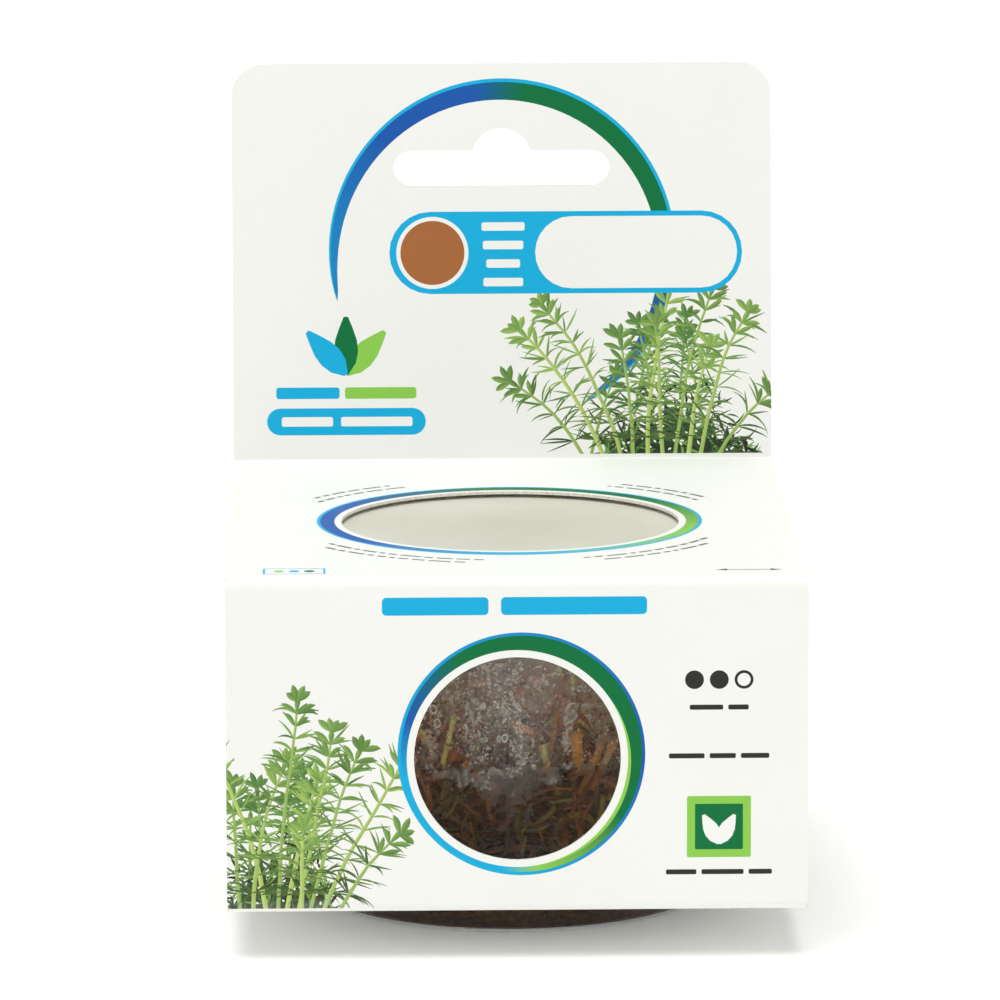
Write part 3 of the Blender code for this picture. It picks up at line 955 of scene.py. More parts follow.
def sleeve_mesh(sleeve, cup):
    """The folded board, and its printed skin in place of the board's outer faces."""
    blank = Blank(sleeve)
    inks = SimpleNamespace(**{name: tuple(getattr(sleeve, name)) for name in (
        "board", "azure", "blue", "green", "lime", "brown", "grey")})
    shapes = [(blank_outline(blank, sleeve.header_corner / MM), inks.board)]
    print_header(Panel(shapes, blank.header), inks)
    print_top(Panel(shapes, blank.top_panel), sleeve, inks)
    print_front(Panel(shapes, blank.front_panel), sleeve, inks)
    base = wall_radius(cup, SLEEVE_LOW.z + sleeve.card) + GAP
    holes = [
        laid(blank.front_panel, circle((0.0, sleeve.window_height / MM),
                                       sleeve.window_radius / MM)),
        laid(blank.top_panel, circle((0, 0), sleeve.top_hole / MM)),
        laid(blank.bottom_panel, circle((0, 0), base / MM)),
        laid(blank.header, slot_outline(sleeve)),
        laid(blank.header_back, slot_outline(sleeve)),
    ]
    bm = bmesh.new()
    bm.verts.layers.float.new("crease")
    ink = bm.loops.layers.float_color.new("ink")

    flat, pieces, sources = triangulate(blank, [shapes[0][0]] + holes)
    plain = [piece for piece, source in zip(pieces, sources) if source == [0]]
    outer = fold_up(bm, blank, flat, plain)
    bm.normal_update()
    bmesh.ops.solidify(bm, geom=outer, thickness=sleeve.card - SKIN)
    for face in bm.faces:
        cut = len(face.verts) == 4
        face.material_index = 2 if cut else 1
    bmesh.ops.delete(bm, geom=outer, context="FACES")

    boxes = []
    for outline, tone in shapes:
        across, along = zip(*outline)
        boxes.append((min(across), max(across), min(along), max(along)))
    flat, pieces, sources = triangulate(blank, [shape[0] for shape in shapes] + holes)
    printed, tones = [], []
    for piece, source in zip(pieces, sources):
        if 0 not in source or max(source) >= len(shapes):
            continue
        x, s = sum((flat[index] for index in piece), Vector((0, 0))) / len(piece)
        over = [index for index in source if boxes[index][0] <= x <= boxes[index][1]
                and boxes[index][2] <= s <= boxes[index][3]]
        printed.append(piece)
        tones.append(shapes[max(over)][1])
    for face, piece, tone in zip(fold_up(bm, blank, flat, printed), printed, tones):
        for loop, index in zip(face.loops, reversed(piece)):
            loop[ink] = (*tone(flat[index].x, flat[index].y)[:3], 1.0) if callable(tone) else tone
    bmesh.ops.remove_doubles(bm, verts=bm.verts, dist=1e-7)
    return bm


class ROTALA_OT_sleeve(bpy.types.Operator):
    """Fold the printed card sleeve"""
    bl_idname = "rotala.sleeve"
    bl_label = "Card sleeve"

    def execute(self, context):
        sleeve = context.scene.rotala_sleeve
        bm = sleeve_mesh(sleeve, context.scene.rotala_cup)
        finish_piece(
            "printed_sleeve", bm, (printed_board(), raw_board(sleeve), cut_edge()),
            ("card_sleeve",), sharp=30.0)
        return {"FINISHED"}


# Cup, lid and gel

DISH = 0.3 * MM                      # how far the middle of the cup's base is raised
DISH_INNER, DISH_OUTER = 0.78, 0.81  # ends of its slope, in base radii
MENISCUS_REACH = 2.4                 # how far the gel's edge is curved, in its height
FOG_LOW, FOG_HIGH = 15.0 * MM, 47.0 * MM
FOG_ROWS = 48                        # rings of corners that carry the fog
FILM_HEIGHT, FILM_HALF = 24.1, 0.6   # mm, the ring of dense fog over the gel
FRONT_EDGE = (24.0, 32.0)            # degrees over which the placed fog gives way to the drift
FOG_FOOT = (22.5, 24.5)              # mm over which the fog begins above the gel
VEIL_RISE = (29.0, 38.0)             # mm over which the veil thickens
BARE_PLACE = (6.5, 29.5)             # degrees and mm, the middle of the clearest patch
BARE_SIZE = 4.5                      # degrees and mm
# Patches of fog on the front wall: degrees from the front, height (mm), half width in degrees,
# half height (mm), amount and number of beads
FRONT_CLOUDS = (
    (-10.5, 32.2, 4.5, 2.4, 0.52, 170), (-9.0, 28.8, 4.0, 2.0, 0.22, 110),
    (-1.2, 32.6, 3.2, 2.6, 0.72, 190), (-4.5, 33.5, 2.5, 2.2, 0.42, 70),
    (1.0, 27.8, 2.4, 2.6, 0.74, 170), (3.5, 26.0, 2.0, 1.4, 0.5, 60),
    (12.8, 32.0, 1.3, 3.4, 0.68, 110), (12.0, 28.2, 0.9, 1.8, 0.5, 40),
    (-16.0, 35.0, 4.0, 2.4, 0.30, 90), (-5.0, 36.6, 8.0, 1.8, 0.28, 120),
    (7.5, 37.8, 6.0, 1.6, 0.20, 60), (-8.5, 26.4, 3.0, 1.4, 0.20, 60),
    (-20.5, 29.0, 2.0, 2.4, 0.30, 50), (19.0, 36.0, 4.0, 2.0, 0.25, 60),
    (0.0, 40.6, 18.0, 1.8, 0.55, 200),
    (-17.5, 23.3, 4.0, 0.6, 0.80, 24), (-12.5, 22.9, 3.5, 0.9, 1.05, 40),
    (-7.8, 22.3, 2.6, 1.1, 1.10, 40), (-4.0, 23.6, 2.6, 0.6, 1.00, 30),
    (0.0, 24.3, 2.4, 0.6, 0.80, 24), (9.6, 22.7, 1.9, 0.8, 0.95, 24),
    (-2.5, 20.6, 8.5, 3.6, 0.50, 0), (-21.0, 28.0, 3.5, 5.0, 0.44, 70),
    (21.0, 31.0, 5.0, 6.0, 0.42, 50))


def fog_amount(angle, height):
    """How fogged the cup's inner wall is, 0 to 1: placed in front, drifting elsewhere."""
    degrees = math.degrees(angle)
    amount = 0.0
    for middle, level, wide, tall, weight, _ in FRONT_CLOUDS:
        off = ((degrees - middle) / wide) ** 2 + ((height - level) / tall) ** 2
        amount = max(amount, weight * math.exp(-0.7 * off))
    ring = 0.62 * math.exp(-((height - FILM_HEIGHT) / FILM_HALF) ** 2)
    beyond = ramp(abs(degrees), *FRONT_EDGE)
    above = ramp(height, *FOG_FOOT)
    drift = noise.noise(Vector((math.sin(angle) * 6.0, math.cos(angle) * 6.0, height * 0.16)))
    veil = above * (0.24 + 0.12 * drift + 0.34 * ramp(height, *VEIL_RISE))
    bare = math.exp(-((degrees - BARE_PLACE[0]) / BARE_SIZE) ** 2
                    - ((height - BARE_PLACE[1]) / BARE_SIZE) ** 2)
    veil *= (1.0 - 0.5 * beyond) * (1.0 - 0.7 * bare)
    return max(amount, ring, veil, beyond * above * (0.15 + 0.8 * drift))


class ROTALA_OT_cup(bpy.types.Operator):
    """Turn the clear cup"""
    bl_idname = "rotala.cup"
    bl_label = "Clear cup"

    def execute(self, context):
        cup = context.scene.rotala_cup
        top = CUP_HIGH.z
        under = top - cup.flange
        edge = CUP_HIGH.x
        lip = cup.flange * 0.45
        foot = (cup.base_radius - cup.foot_round, cup.foot_round)
        points = [(0, DISH), (cup.base_radius * DISH_INNER, DISH),
                  (cup.base_radius * DISH_OUTER, 0)]
        points += arc(foot, cup.foot_round, -90, 0, 8)
        points.append((wall_radius(cup, under) - 0.1 * MM, under - 0.5 * MM))
        points += arc((wall_radius(cup, under) + 0.4 * MM, under - 0.4 * MM), 0.4 * MM, 180, 90, 4)
        points += arc((edge - lip, under + lip), lip, -90, 0, 4)
        points += arc((edge - lip, top - lip), lip, 0, 90, 4)
        mouth = cup.rim_radius - cup.wall
        points += arc((mouth + 0.3 * MM, top - 0.3 * MM), 0.3 * MM, 90, 180, 4)
        rows = [FOG_HIGH + (FOG_LOW - FOG_HIGH) * step / FOG_ROWS for step in range(FOG_ROWS + 1)]
        points += [(wall_radius(cup, height) - cup.wall, height) for height in rows]
        inner_round = cup.foot_round - cup.wall
        inner = (cup.base_radius - cup.wall - inner_round, cup.floor + inner_round)
        points += arc(inner, inner_round, 0, -90, 6)
        points.append((0, cup.floor))
        bm = turned(points, cup.segments)
        fog = bm.verts.layers.float.new("fog")
        for vert in bm.verts:
            vert[fog] = fog_amount(math.atan2(vert.co.x, -vert.co.y), vert.co.z / MM)
        for face in bm.faces:
            middle = face.calc_center_median()
            inside = middle.xy.length < wall_radius(cup, middle.z) - 0.5 * cup.wall
            if inside and FOG_LOW < middle.z < FOG_HIGH:
                face.material_index = 1
        finish_piece("clear_cup", bm, (clear_plastic(cup), fogged_plastic()),
                     ("cup",), sharp=50.0)
        return {"FINISHED"}


class ROTALA_OT_lid(bpy.types.Operator):
    """Turn the milky snap lid"""
    bl_idname = "rotala.lid"
    bl_label = "Snap lid"

    def execute(self, context):
        cup = context.scene.rotala_cup
        top, low, edge = LID_HIGH.z, LID_LOW.z, LID_HIGH.x
        wall = cup.lid_wall
        panel = top - cup.lid_sink
        plug = cup.lid_plug
        small = 0.3 * MM
        points = [(0, panel), (plug - wall - small, panel)]
        points += arc((plug - wall - small, panel + small), small, -90, -20, 3)
        points += arc((plug + small, top - small), small, 160, 90, 4)
        points += arc((edge - wall, top - wall), wall, 90, 0, 6)
        points.append((edge, low + small))
        points += arc((edge - small, low + small), small, 0, -90, 3)
        points.append((edge - wall, low))
        points.append((edge - wall, top - wall))
        points.append((plug + wall, top - wall))
        points.append((plug, panel - wall))
        points.append((0, panel - wall))
        bm = turned(points, cup.segments)
        finish_piece("snap_lid", bm, (milky_plastic(cup),), ("lid",),
                     sharp=50.0)
        return {"FINISHED"}


class ROTALA_OT_gel(bpy.types.Operator):
    """Pour the agar gel"""
    bl_idname = "rotala.gel"
    bl_label = "Agar gel"

    def execute(self, context):
        cup = context.scene.rotala_cup
        level = GEL_HIGH.z - MENISCUS
        film = 0.03 * MM
        low = cup.floor + film
        inner_round = cup.foot_round - cup.wall
        foot = (cup.base_radius - cup.wall - inner_round, cup.floor + inner_round)
        edge = wall_radius(cup, GEL_HIGH.z) - cup.wall - film
        points = [(0, low), (foot[0], low)]
        points += arc(foot, inner_round - film, -80, 0, 6)
        points.append((edge, GEL_HIGH.z))
        for step in range(1, 7):
            part = step / 6
            points.append((edge - MENISCUS_REACH * MENISCUS * part,
                           level + MENISCUS * (1 - part) ** 2.2))
        points += [(edge * 0.6, level), (edge * 0.3, level), (0, level)]
        bm = turned(points, cup.segments)
        for vert in bm.verts:
            if vert.co.z > level - 0.1 * MM and vert.co.xy.length < edge - 2 * MENISCUS:
                vert.co.z += 0.5 * MM * noise.noise(vert.co * 90)
        finish_piece("gel_fill", bm, (agar(cup),), ("agar_gel",), sharp=60.0)
        return {"FINISHED"}


# Condensation

BEAD_SUNK = 0.2 * MM                 # so that a bead lies before the haze of the wall's surface
# painted highlight: over these parts of a bead's radius its rim turns opaque white
RIM_START, RIM_WIDTH = 0.6, 0.15     # in a bead's radius


def scatter(name, template, matrices, materials):
    """Join one copy of a bead for each matrix into a single mesh."""
    template.verts.index_update()
    corners = np.array([vert.co for vert in template.verts])
    faces = np.array([[vert.index for vert in face.verts] for face in template.faces])
    template.free()
    places = np.array([[list(row) for row in matrix] for matrix in matrices])
    copies = np.einsum("nij,kj->nki", places[:, :3, :3], corners) + places[:, None, :3, 3]
    shift = np.arange(len(matrices))[:, None, None] * len(corners)
    mesh = bpy.data.meshes.new(name)
    mesh.from_pydata(copies.reshape(-1, 3).tolist(), [],
                     (faces[None] + shift).reshape(-1, faces.shape[1]).tolist())
    # how far each corner lies in a bead's painted rim highlight
    rim_highlights = np.clip((np.hypot(corners[:, 0], corners[:, 1]) - RIM_START) / RIM_WIDTH, 0.0, 1.0)
    rim = mesh.attributes.new("rim", "FLOAT", "POINT")
    rim.data.foreach_set("value", np.tile(rim_highlights, len(matrices)))
    return finish_mesh(name, mesh, materials, sharp=50.0)


def bead(subdivisions):
    """A dome of unit radius with a flat back, to be set on a wall."""
    bm = bmesh.new()
    bmesh.ops.create_icosphere(bm, subdivisions=subdivisions, radius=1.0)
    for vert in bm.verts:
        vert.co.z = max(vert.co.z, 0.0)
    return bm


def on_wall(cup, angle, height, radius, flat=0.6, tall=1.0):
    """The matrix that sets a bead in the cup's inner wall, clear of its haze; 0 is the front."""
    angle -= math.pi / 2
    slope = math.atan2(cup.rim_radius - cup.base_radius, CUP_HIGH.z)
    reach = wall_radius(cup, height) - cup.wall + BEAD_SUNK
    place = Vector((reach * math.cos(angle), reach * math.sin(angle), height))
    inward = Vector((-math.cos(angle) * math.cos(slope), -math.sin(angle) * math.cos(slope),
                     math.sin(slope)))
    up = Vector((math.cos(angle) * math.sin(slope), math.sin(angle) * math.sin(slope),
                 math.cos(slope)))
    side = up.cross(inward)
    turn = Matrix((side, up, inward)).transposed().to_4x4()
    size = Matrix.Diagonal((radius, radius * tall, radius * flat, 1.0))
    return Matrix.Translation(place) @ turn @ size


# Larger drops on the front wall: degrees from the front, height, radius (mm), height to width
FRONT_DROPS = (
    (-19.7, 32.8, 0.60, 1.15), (-18.9, 30.8, 0.50, 1.4), (-2.6, 28.9, 0.42, 1.6),
    (-4.0, 28.8, 0.30, 1.7), (14.5, 33.4, 0.22, 1.0), (16.2, 33.4, 0.24, 1.0),
    (15.0, 35.9, 0.34, 1.3), (13.6, 36.0, 0.22, 1.0), (16.3, 35.7, 0.25, 1.4),
    (12.1, 24.8, 0.24, 1.0), (13.2, 24.3, 0.27, 1.0), (13.9, 24.9, 0.21, 1.0),
    (-25.5, 25.1, 0.30, 1.8), (27.0, 24.9, 0.32, 1.2), (-9.0, 26.0, 0.20, 1.0),
    (-8.2, 25.4, 0.23, 1.0), (-9.8, 25.2, 0.18, 1.0), (-7.0, 39.2, 0.30, 0.8),
    (-3.5, 39.6, 0.34, 0.9), (1.5, 39.0, 0.26, 1.0), (5.5, 39.3, 0.30, 0.8),
    (-10.5, 38.2, 0.24, 1.1), (9.0, 38.3, 0.22, 1.2), (-13.5, 36.4, 0.20, 1.0),
    (-1.0, 37.6, 0.20, 1.1), (-15.0, 34.9, 0.18, 1.0), (-21.5, 28.4, 0.2, 1.3),
    (-5.6, 24.4, 0.3, 0.8), (-4.4, 24.2, 0.22, 0.9), (-1.8, 24.3, 0.24, 0.8))


CLOUD_SHARE = 0.95                   # drawn part of a cloud's number of beads
CLOUD_SPREAD = 0.66                  # the beads' spread in a cloud's half sizes
DEW_LOWEST, DEW_LOW = 20.5, 24.0     # mm, of the clouds' beads and of the others
DEW_HIGH = 46.0
DEW_COUNT = 5200
DROP_COUNT = 70
DROP_FREE = 0.6                      # radians from the front that only the placed drops fill


class ROTALA_OT_condensation(bpy.types.Operator):
    """Bead the cup's inner wall with condensed water"""
    bl_idname = "rotala.condensation"
    bl_label = "Condensation"

    def execute(self, context):
        cup = context.scene.rotala_cup
        draw = random.Random(41)
        fine, medium = [], []
        for middle, level, wide, tall, _, count in FRONT_CLOUDS:
            for _ in range(round(CLOUD_SHARE * count)):
                angle = math.radians(draw.gauss(middle, CLOUD_SPREAD * wide))
                height = draw.gauss(level, CLOUD_SPREAD * tall)
                if height < DEW_LOWEST or height > DEW_HIGH:
                    continue
                radius = draw.triangular(0.06, 0.16, 0.08) * MM
                fine.append(on_wall(cup, angle, height * MM, radius))
                if draw.random() < 0.07:
                    radius = draw.triangular(0.18, 0.32, 0.2) * MM
                    medium.append(on_wall(cup, angle, (height - 0.4) * MM, radius, 0.8))
        while len(fine) < DEW_COUNT:
            angle, height = draw.uniform(-math.pi, math.pi), draw.uniform(DEW_LOW, DEW_HIGH)
            if draw.random() < fog_amount(angle, height) + 0.06:
                radius = draw.triangular(0.07, 0.2, 0.1) * MM
                fine.append(on_wall(cup, angle, height * MM, radius))
                if draw.random() < 0.06:
                    radius = draw.triangular(0.15, 0.35, 0.18) * MM
                    medium.append(on_wall(cup, angle, (height - 0.5) * MM, radius, 0.8))
        scatter("dew_fine", bead(1), fine, (dew(),))
        scatter("dew_beads", bead(2), medium, (clear_water(),))
        large = [(math.radians(angle), height, radius, tall)
                 for angle, height, radius, tall in FRONT_DROPS]
        for _ in range(DROP_COUNT):
            large.append((draw.uniform(DROP_FREE, 2 * math.pi - DROP_FREE),
                          draw.uniform(26.0, DEW_HIGH),
                          draw.uniform(0.25, 0.6), draw.uniform(1.0, 1.6)))
        drops = [on_wall(cup, angle, height * MM, radius * MM, 0.85, tall)
                 for angle, height, radius, tall in large]
        scatter("water_drops", bead(3), drops, (clear_water(),))
        return {"FINISHED"}


# Rotala stems

STEM_RINGS = ((1, 0.0), (6, 12.4 * MM), (13, 25.2 * MM))     # stems in a ring and its radius
STEM_LOW, STEM_TOP = 2.2 * MM, 43.0 * MM
STEM_SHORTER = 4.2 * MM              # the shortest stem to the tallest
STEM_TURN = 2.4                      # radians from one stem to the next
STEM_TIP = 6 * MM                    # the last stretch, with closer whorls
STEM_SPREAD = 0.10                   # how far the stems part towards their tips
STEM_SWAY, STEM_DRIFT = 1.6 * MM, 1.1 * MM      # across and to the front
STEM_WANDER = 0.5 * MM               # a stem's small turns
WHORL_BAND = 0.45 * MM               # the ring of a stem that a whorl grows from
LEAF_SECTIONS = ((0.16, 0.5), (0.42, 0.95), (0.72, 0.9), (1.0, 0.12))   # part of length, width
GEL_LEVEL = GEL_HIGH.z - MENISCUS
LEAF_BRIGHTEST = 0.9                 # of 1.0, the most that a leaf's largest channel gets
LEAF_CLEARANCE = 1.2 * MM            # kept by drooping leaves to the cup's floor
# Painted light that makes the leaves lighter by the window's sides: mm to the front over which it
# begins, and mm from the middle over which it begins and ends
PAINTED_LIGHT_FRONT, PAINTED_LIGHT_BEGIN, PAINTED_LIGHT_END = (12.0, 20.0), (5.0, 11.0), (24.0, 18.0)
WALL_CLEARANCE = 0.2 * MM            # kept by a stem's leaves to the cup's wall


def stem_feet():
    """Where the stems stand, as in the solids: one in the middle and two rings about it."""
    feet = []
    for count, radius in STEM_RINGS:
        for index in range(count):
            angle = 2 * math.pi * (index + 0.5) / count - math.pi / 2
            feet.append((radius * math.cos(angle), radius * math.sin(angle)))
    return feet


def stem_axis(foot, height):
    """The middle of a stem at a height, as in the solids."""
    above = max(0.0, height - GEL_LEVEL) / (STEM_TOP - GEL_LEVEL)
    spread = 1.0 + STEM_SPREAD * above
    sway = STEM_SWAY * math.sin(2.6 * above)
    drift = STEM_DRIFT * (1.0 - math.cos(2.2 * above))
    return Vector((foot[0] * spread + sway, foot[1] * spread - drift, height))


def press_to_wall(cup, point):
    """A point, moved in where it would pass the cup's inner wall."""
    room = wall_radius(cup, point.z) - cup.wall - WALL_CLEARANCE
    reach = math.hypot(point.x, point.y)
    if reach > room:
        point.x *= room / reach
        point.y *= room / reach
    return point


def painted_window_light(x, y):
    """How much painted light brightens the leaves by the window's sides; x and y in metres."""
    off = abs(x) / MM
    aside = ramp(off, *PAINTED_LIGHT_BEGIN) * ramp(off, *PAINTED_LIGHT_END)
    return 1.0 + 1.4 * ramp(-y / MM, *PAINTED_LIGHT_FRONT) * aside


def lit_tone(tone, light):
    """A leaf's colour scaled by light, with its hue kept where it would pass white."""
    light = min(light, LEAF_BRIGHTEST / max(tone[:3]))
    return [channel * light for channel in tone[:3]] + [1.0]


def grow_leaves(bm, faces, leaves, tint, cup):
    """Draw the faces of the whorls out into leaves, each along its own curve."""
    order = bm.faces.layers.int["leaf"]
    feet = {face[order]: face.calc_center_median().copy() for face in faces}
    for part, width in LEAF_SECTIONS:
        faces = bmesh.ops.extrude_discrete_faces(bm, faces=faces)["faces"]
        for face in faces:
            leaf = leaves[face[order]]
            out, reach, rise, curl = leaf["out"], leaf["reach"], leaf["rise"], leaf["curl"]
            middle = feet[face[order]] + out * reach * part
            middle.z += reach * (rise * part + curl * part * part)
            middle += leaf["side"] * reach * leaf["bow"] * part * part
            side = leaf["side"].copy()
            side.rotate(Matrix.Rotation(leaf["twist"] * part, 3, out))
            slope = out.cross(side) + out * -(rise + 2 * curl * part)
            slope.normalize()
            old = face.calc_center_median()
            for vert in face.verts:
                offset = vert.co - old
                across = 1 if offset.dot(leaf["side"]) > 0 else -1
                above = 1 if offset.z > 0 else -1
                half = leaf["width"] / 2 * width
                thick = leaf["width"] * 0.11 * (1.1 - 0.8 * part)
                vert.co = middle + side * half * across + slope * thick * above
                press_to_wall(cup, vert.co)
                vert[tint] = blend_colours(leaf["base"], leaf["tip"], part)


def way_to_wall(cup, start, out):
    """How far the cup's inner wall is from a point, along a level direction."""
    room = wall_radius(cup, start.z) - cup.wall
    along = start.x * out.x + start.y * out.y
    return math.sqrt(max(along ** 2 + room ** 2 - start.x ** 2 - start.y ** 2, 0.0)) - along


def leaf_colours(plant, draw, young):
    """The foot and tip colours of a leaf; young runs from 0 to 1 at the stem's tip."""
    base = draw.choice((plant.olive, plant.maroon, plant.maroon, plant.rust))
    tip = draw.choice((plant.rust, plant.maroon, plant.olive, plant.rust))
    if draw.random() < young:
        base, tip = draw.choice((plant.maroon, plant.olive)), plant.pink
    shade = draw.uniform(0.87, 1.62)
    return [channel * shade for channel in base], [channel * shade for channel in tip]


def bearing(face, phase):
    """Which way a side face of a stem looks, in radians from the stem's own turn."""
    return (math.atan2(face.normal.y, face.normal.x) - phase) % (2 * math.pi)


def grow_stem(plant, cup, foot, tip, phase, draw):
    """One leafy stem as a single closed mesh."""
    low = STEM_LOW
    heights = [low]
    marks = []
    level = low + 1.5 * MM
    while level < tip - 0.8 * MM:
        marks.append(len(heights))
        heights += [level, level + WHORL_BAND]
        level += plant.whorl_pitch * draw.uniform(0.8, 1.25) * (
            0.65 if level > tip - STEM_TIP else 1)
    heights.append(tip)

    bm = bmesh.new()
    order = bm.faces.layers.int.new("leaf")
    tint = bm.verts.layers.float_color.new("tint")
    ring = bmesh.ops.create_circle(bm, segments=plant.sides, radius=plant.stem_radius)["verts"]
    bmesh.ops.rotate(bm, verts=ring, cent=(0, 0, 0), matrix=Matrix.Rotation(phase, 3, "Z"))
    here = stem_axis(foot, low)
    bmesh.ops.translate(bm, verts=ring, vec=here)
    edges = list(bm.edges)
    bands = []
    for height in heights[1:]:
        grown = bmesh.ops.extrude_edge_only(bm, edges=edges)["geom"]
        ring = [item for item in grown if isinstance(item, bmesh.types.BMVert)]
        edges = [item for item in grown if isinstance(item, bmesh.types.BMEdge)
                 and item.verts[0] in ring and item.verts[1] in ring]
        bands.append([item for item in grown if isinstance(item, bmesh.types.BMFace)])
        there = stem_axis(foot, height)
        there += Vector((noise.noise(there * 160), noise.noise(there * 160 + Vector((5, 5, 5))),
                         0)) * STEM_WANDER * min(1.0, (height - low) / (6 * MM))
        bmesh.ops.translate(bm, verts=ring, vec=there - here)
        here = there
    shrink = Matrix.Translation(here) @ Matrix.Scale(0.4, 4) @ Matrix.Translation(-here)
    bmesh.ops.transform(bm, matrix=shrink, verts=ring)
    bmesh.ops.holes_fill(bm, edges=[edge for edge in bm.edges if edge.is_boundary], sides=0)
    bmesh.ops.recalc_face_normals(bm, faces=bm.faces)
    for vert in bm.verts:
        vert[tint] = list(plant.stem)

    leaves, chosen = [], []
    for mark in marks:
        above = (heights[mark] - low) / (tip - low)
        young = max(0.0, (above - 0.55) / 0.45)
        mood = draw.uniform(-0.35, 0.55)
        for face in sorted(bands[mark], key=lambda face: bearing(face, phase)):
            out = Vector((face.normal.x, face.normal.y, 0)).normalized()
            out.rotate(Matrix.Rotation(draw.uniform(-0.45, 0.45), 3, "Z"))
            face[order] = len(leaves)
            base, end = leaf_colours(plant, draw, young)
            reach = draw.uniform(0.6, 1.15) * plant.leaf * (1.0 - 0.4 * young)
            reach = min(reach, way_to_wall(cup, face.calc_center_median(), out))
            rise = mood + draw.uniform(-0.3, 0.5) + 0.8 * young
            curl = draw.uniform(-0.7, 0.5)
            room = (heights[mark] - cup.floor - LEAF_CLEARANCE) / max(-reach * (rise + curl), 1e-9)
            leaves.append({
                "out": out, "side": Vector((0, 0, 1)).cross(out), "reach": reach,
                "rise": rise * min(room, 1.0), "curl": curl * min(room, 1.0),
                "bow": draw.uniform(-0.5, 0.5),
                "twist": draw.uniform(-1.2, 1.2),
                "width": plant.leaf_width * draw.uniform(0.6, 1.3),
                "base": base, "tip": end})
            chosen.append(face)
    grow_leaves(bm, chosen, leaves, tint, cup)
    # painted light: leaves lighter by the window's sides, and darker within 1.5 mm of the wall
    for vert in bm.verts:
        painted_light = painted_window_light(vert.co.x, vert.co.y)
        clear = (wall_radius(cup, vert.co.z) - cup.wall - vert.co.xy.length) / MM
        painted_light *= 0.45 + 0.55 * ramp(clear, 0.0, 1.5)
        vert[tint] = lit_tone(vert[tint], painted_light)
    bmesh.ops.recalc_face_normals(bm, faces=bm.faces)
    if bm.calc_volume(signed=True) < 0:
        bmesh.ops.reverse_faces(bm, faces=bm.faces)
    return bm


class ROTALA_OT_stems(bpy.types.Operator):
    """Grow the rotala stems"""
    bl_idname = "rotala.stems"
    bl_label = "Rotala stems"

    def execute(self, context):
        plant, cup = context.scene.rotala_plant, context.scene.rotala_cup
        tissue = leaf_tissue()
        for index, (name, foot) in enumerate(zip(STEM_NODES, stem_feet())):
            draw = random.Random(100 + index)
            tip = STEM_TOP - STEM_SHORTER * (0.5 + 0.5 * math.sin(1.7 * index))
            bm = grow_stem(plant, cup, foot, tip, STEM_TURN * index, draw)
            finish_piece("leafy_" + name, bm, (tissue,), (name,), sharp=60.0)
        return {"FINISHED"}


ROOT_GAP = 0.08 * MM                 # between the mat and the cup's inner surface
ROOT_TOP = 3.6 * MM                  # the mat's surface in front; it rises to the back


class ROTALA_OT_roots(bpy.types.Operator):
    """Mat the roots at the bottom of the gel"""
    bl_idname = "rotala.roots"
    bl_label = "Root mat"

    def execute(self, context):
        cup = context.scene.rotala_cup
        low, top = cup.floor + ROOT_GAP, ROOT_TOP
        bend = cup.foot_round - cup.wall
        edge = cup.base_radius - cup.wall - ROOT_GAP
        points = [(0, low), (edge - bend, low)]
        points += arc((edge - bend, low + bend), bend, -60, 0, 4)
        edge = wall_radius(cup, top) - cup.wall - 0.12 * MM
        points += [(edge * (1.0 - step / 14), top) for step in range(15)]
        bm = turned(points, 120)
        for vert in bm.verts:
            if vert.co.z > top - 0.1 * MM:
                vert.co.z += (1.4 * MM * noise.noise(vert.co * 330)
                              + 0.7 * MM * noise.noise(vert.co * 900))
                vert.co.z += 6.0 * MM * (max(vert.co.y, 0.0) / edge) ** 2
        finish_piece("root_mat", bm, (root_fibre(),), sharp=60.0)
        return {"FINISHED"}


def leaf_blank():
    """A narrow leaf one unit long and wide: a closed plate, ridged along its midrib."""
    bm = bmesh.new()
    bmesh.ops.create_grid(bm, x_segments=8, y_segments=2, size=0.5)
    for vert in bm.verts:
        part = vert.co.x + 0.5
        vert.co.y *= max(math.sin(math.pi * (0.94 * part + 0.04)) ** 0.8, 0.08)
        vert.co.z = 0.5 - 2.0 * abs(vert.co.y)
    bmesh.ops.recalc_face_normals(bm, faces=bm.faces)
    bmesh.ops.solidify(bm, geom=list(bm.faces), thickness=1.0)
    bmesh.ops.recalc_face_normals(bm, faces=bm.faces)
    return bm


LEAVES_LOW, LEAVES_HIGH = 3.6, 45.0  # mm, kept by whole loose leaves
LEAF_MIDDLES = (4.5, 41.5)           # mm, the heights of the drawn leaves' middles
PINK_LOWEST = 30                     # mm, as only tips are pink
WHORL_LEAVES = 7
WALL_BY_WINDOW = 32.0                # mm, the wall's radius at the window's height
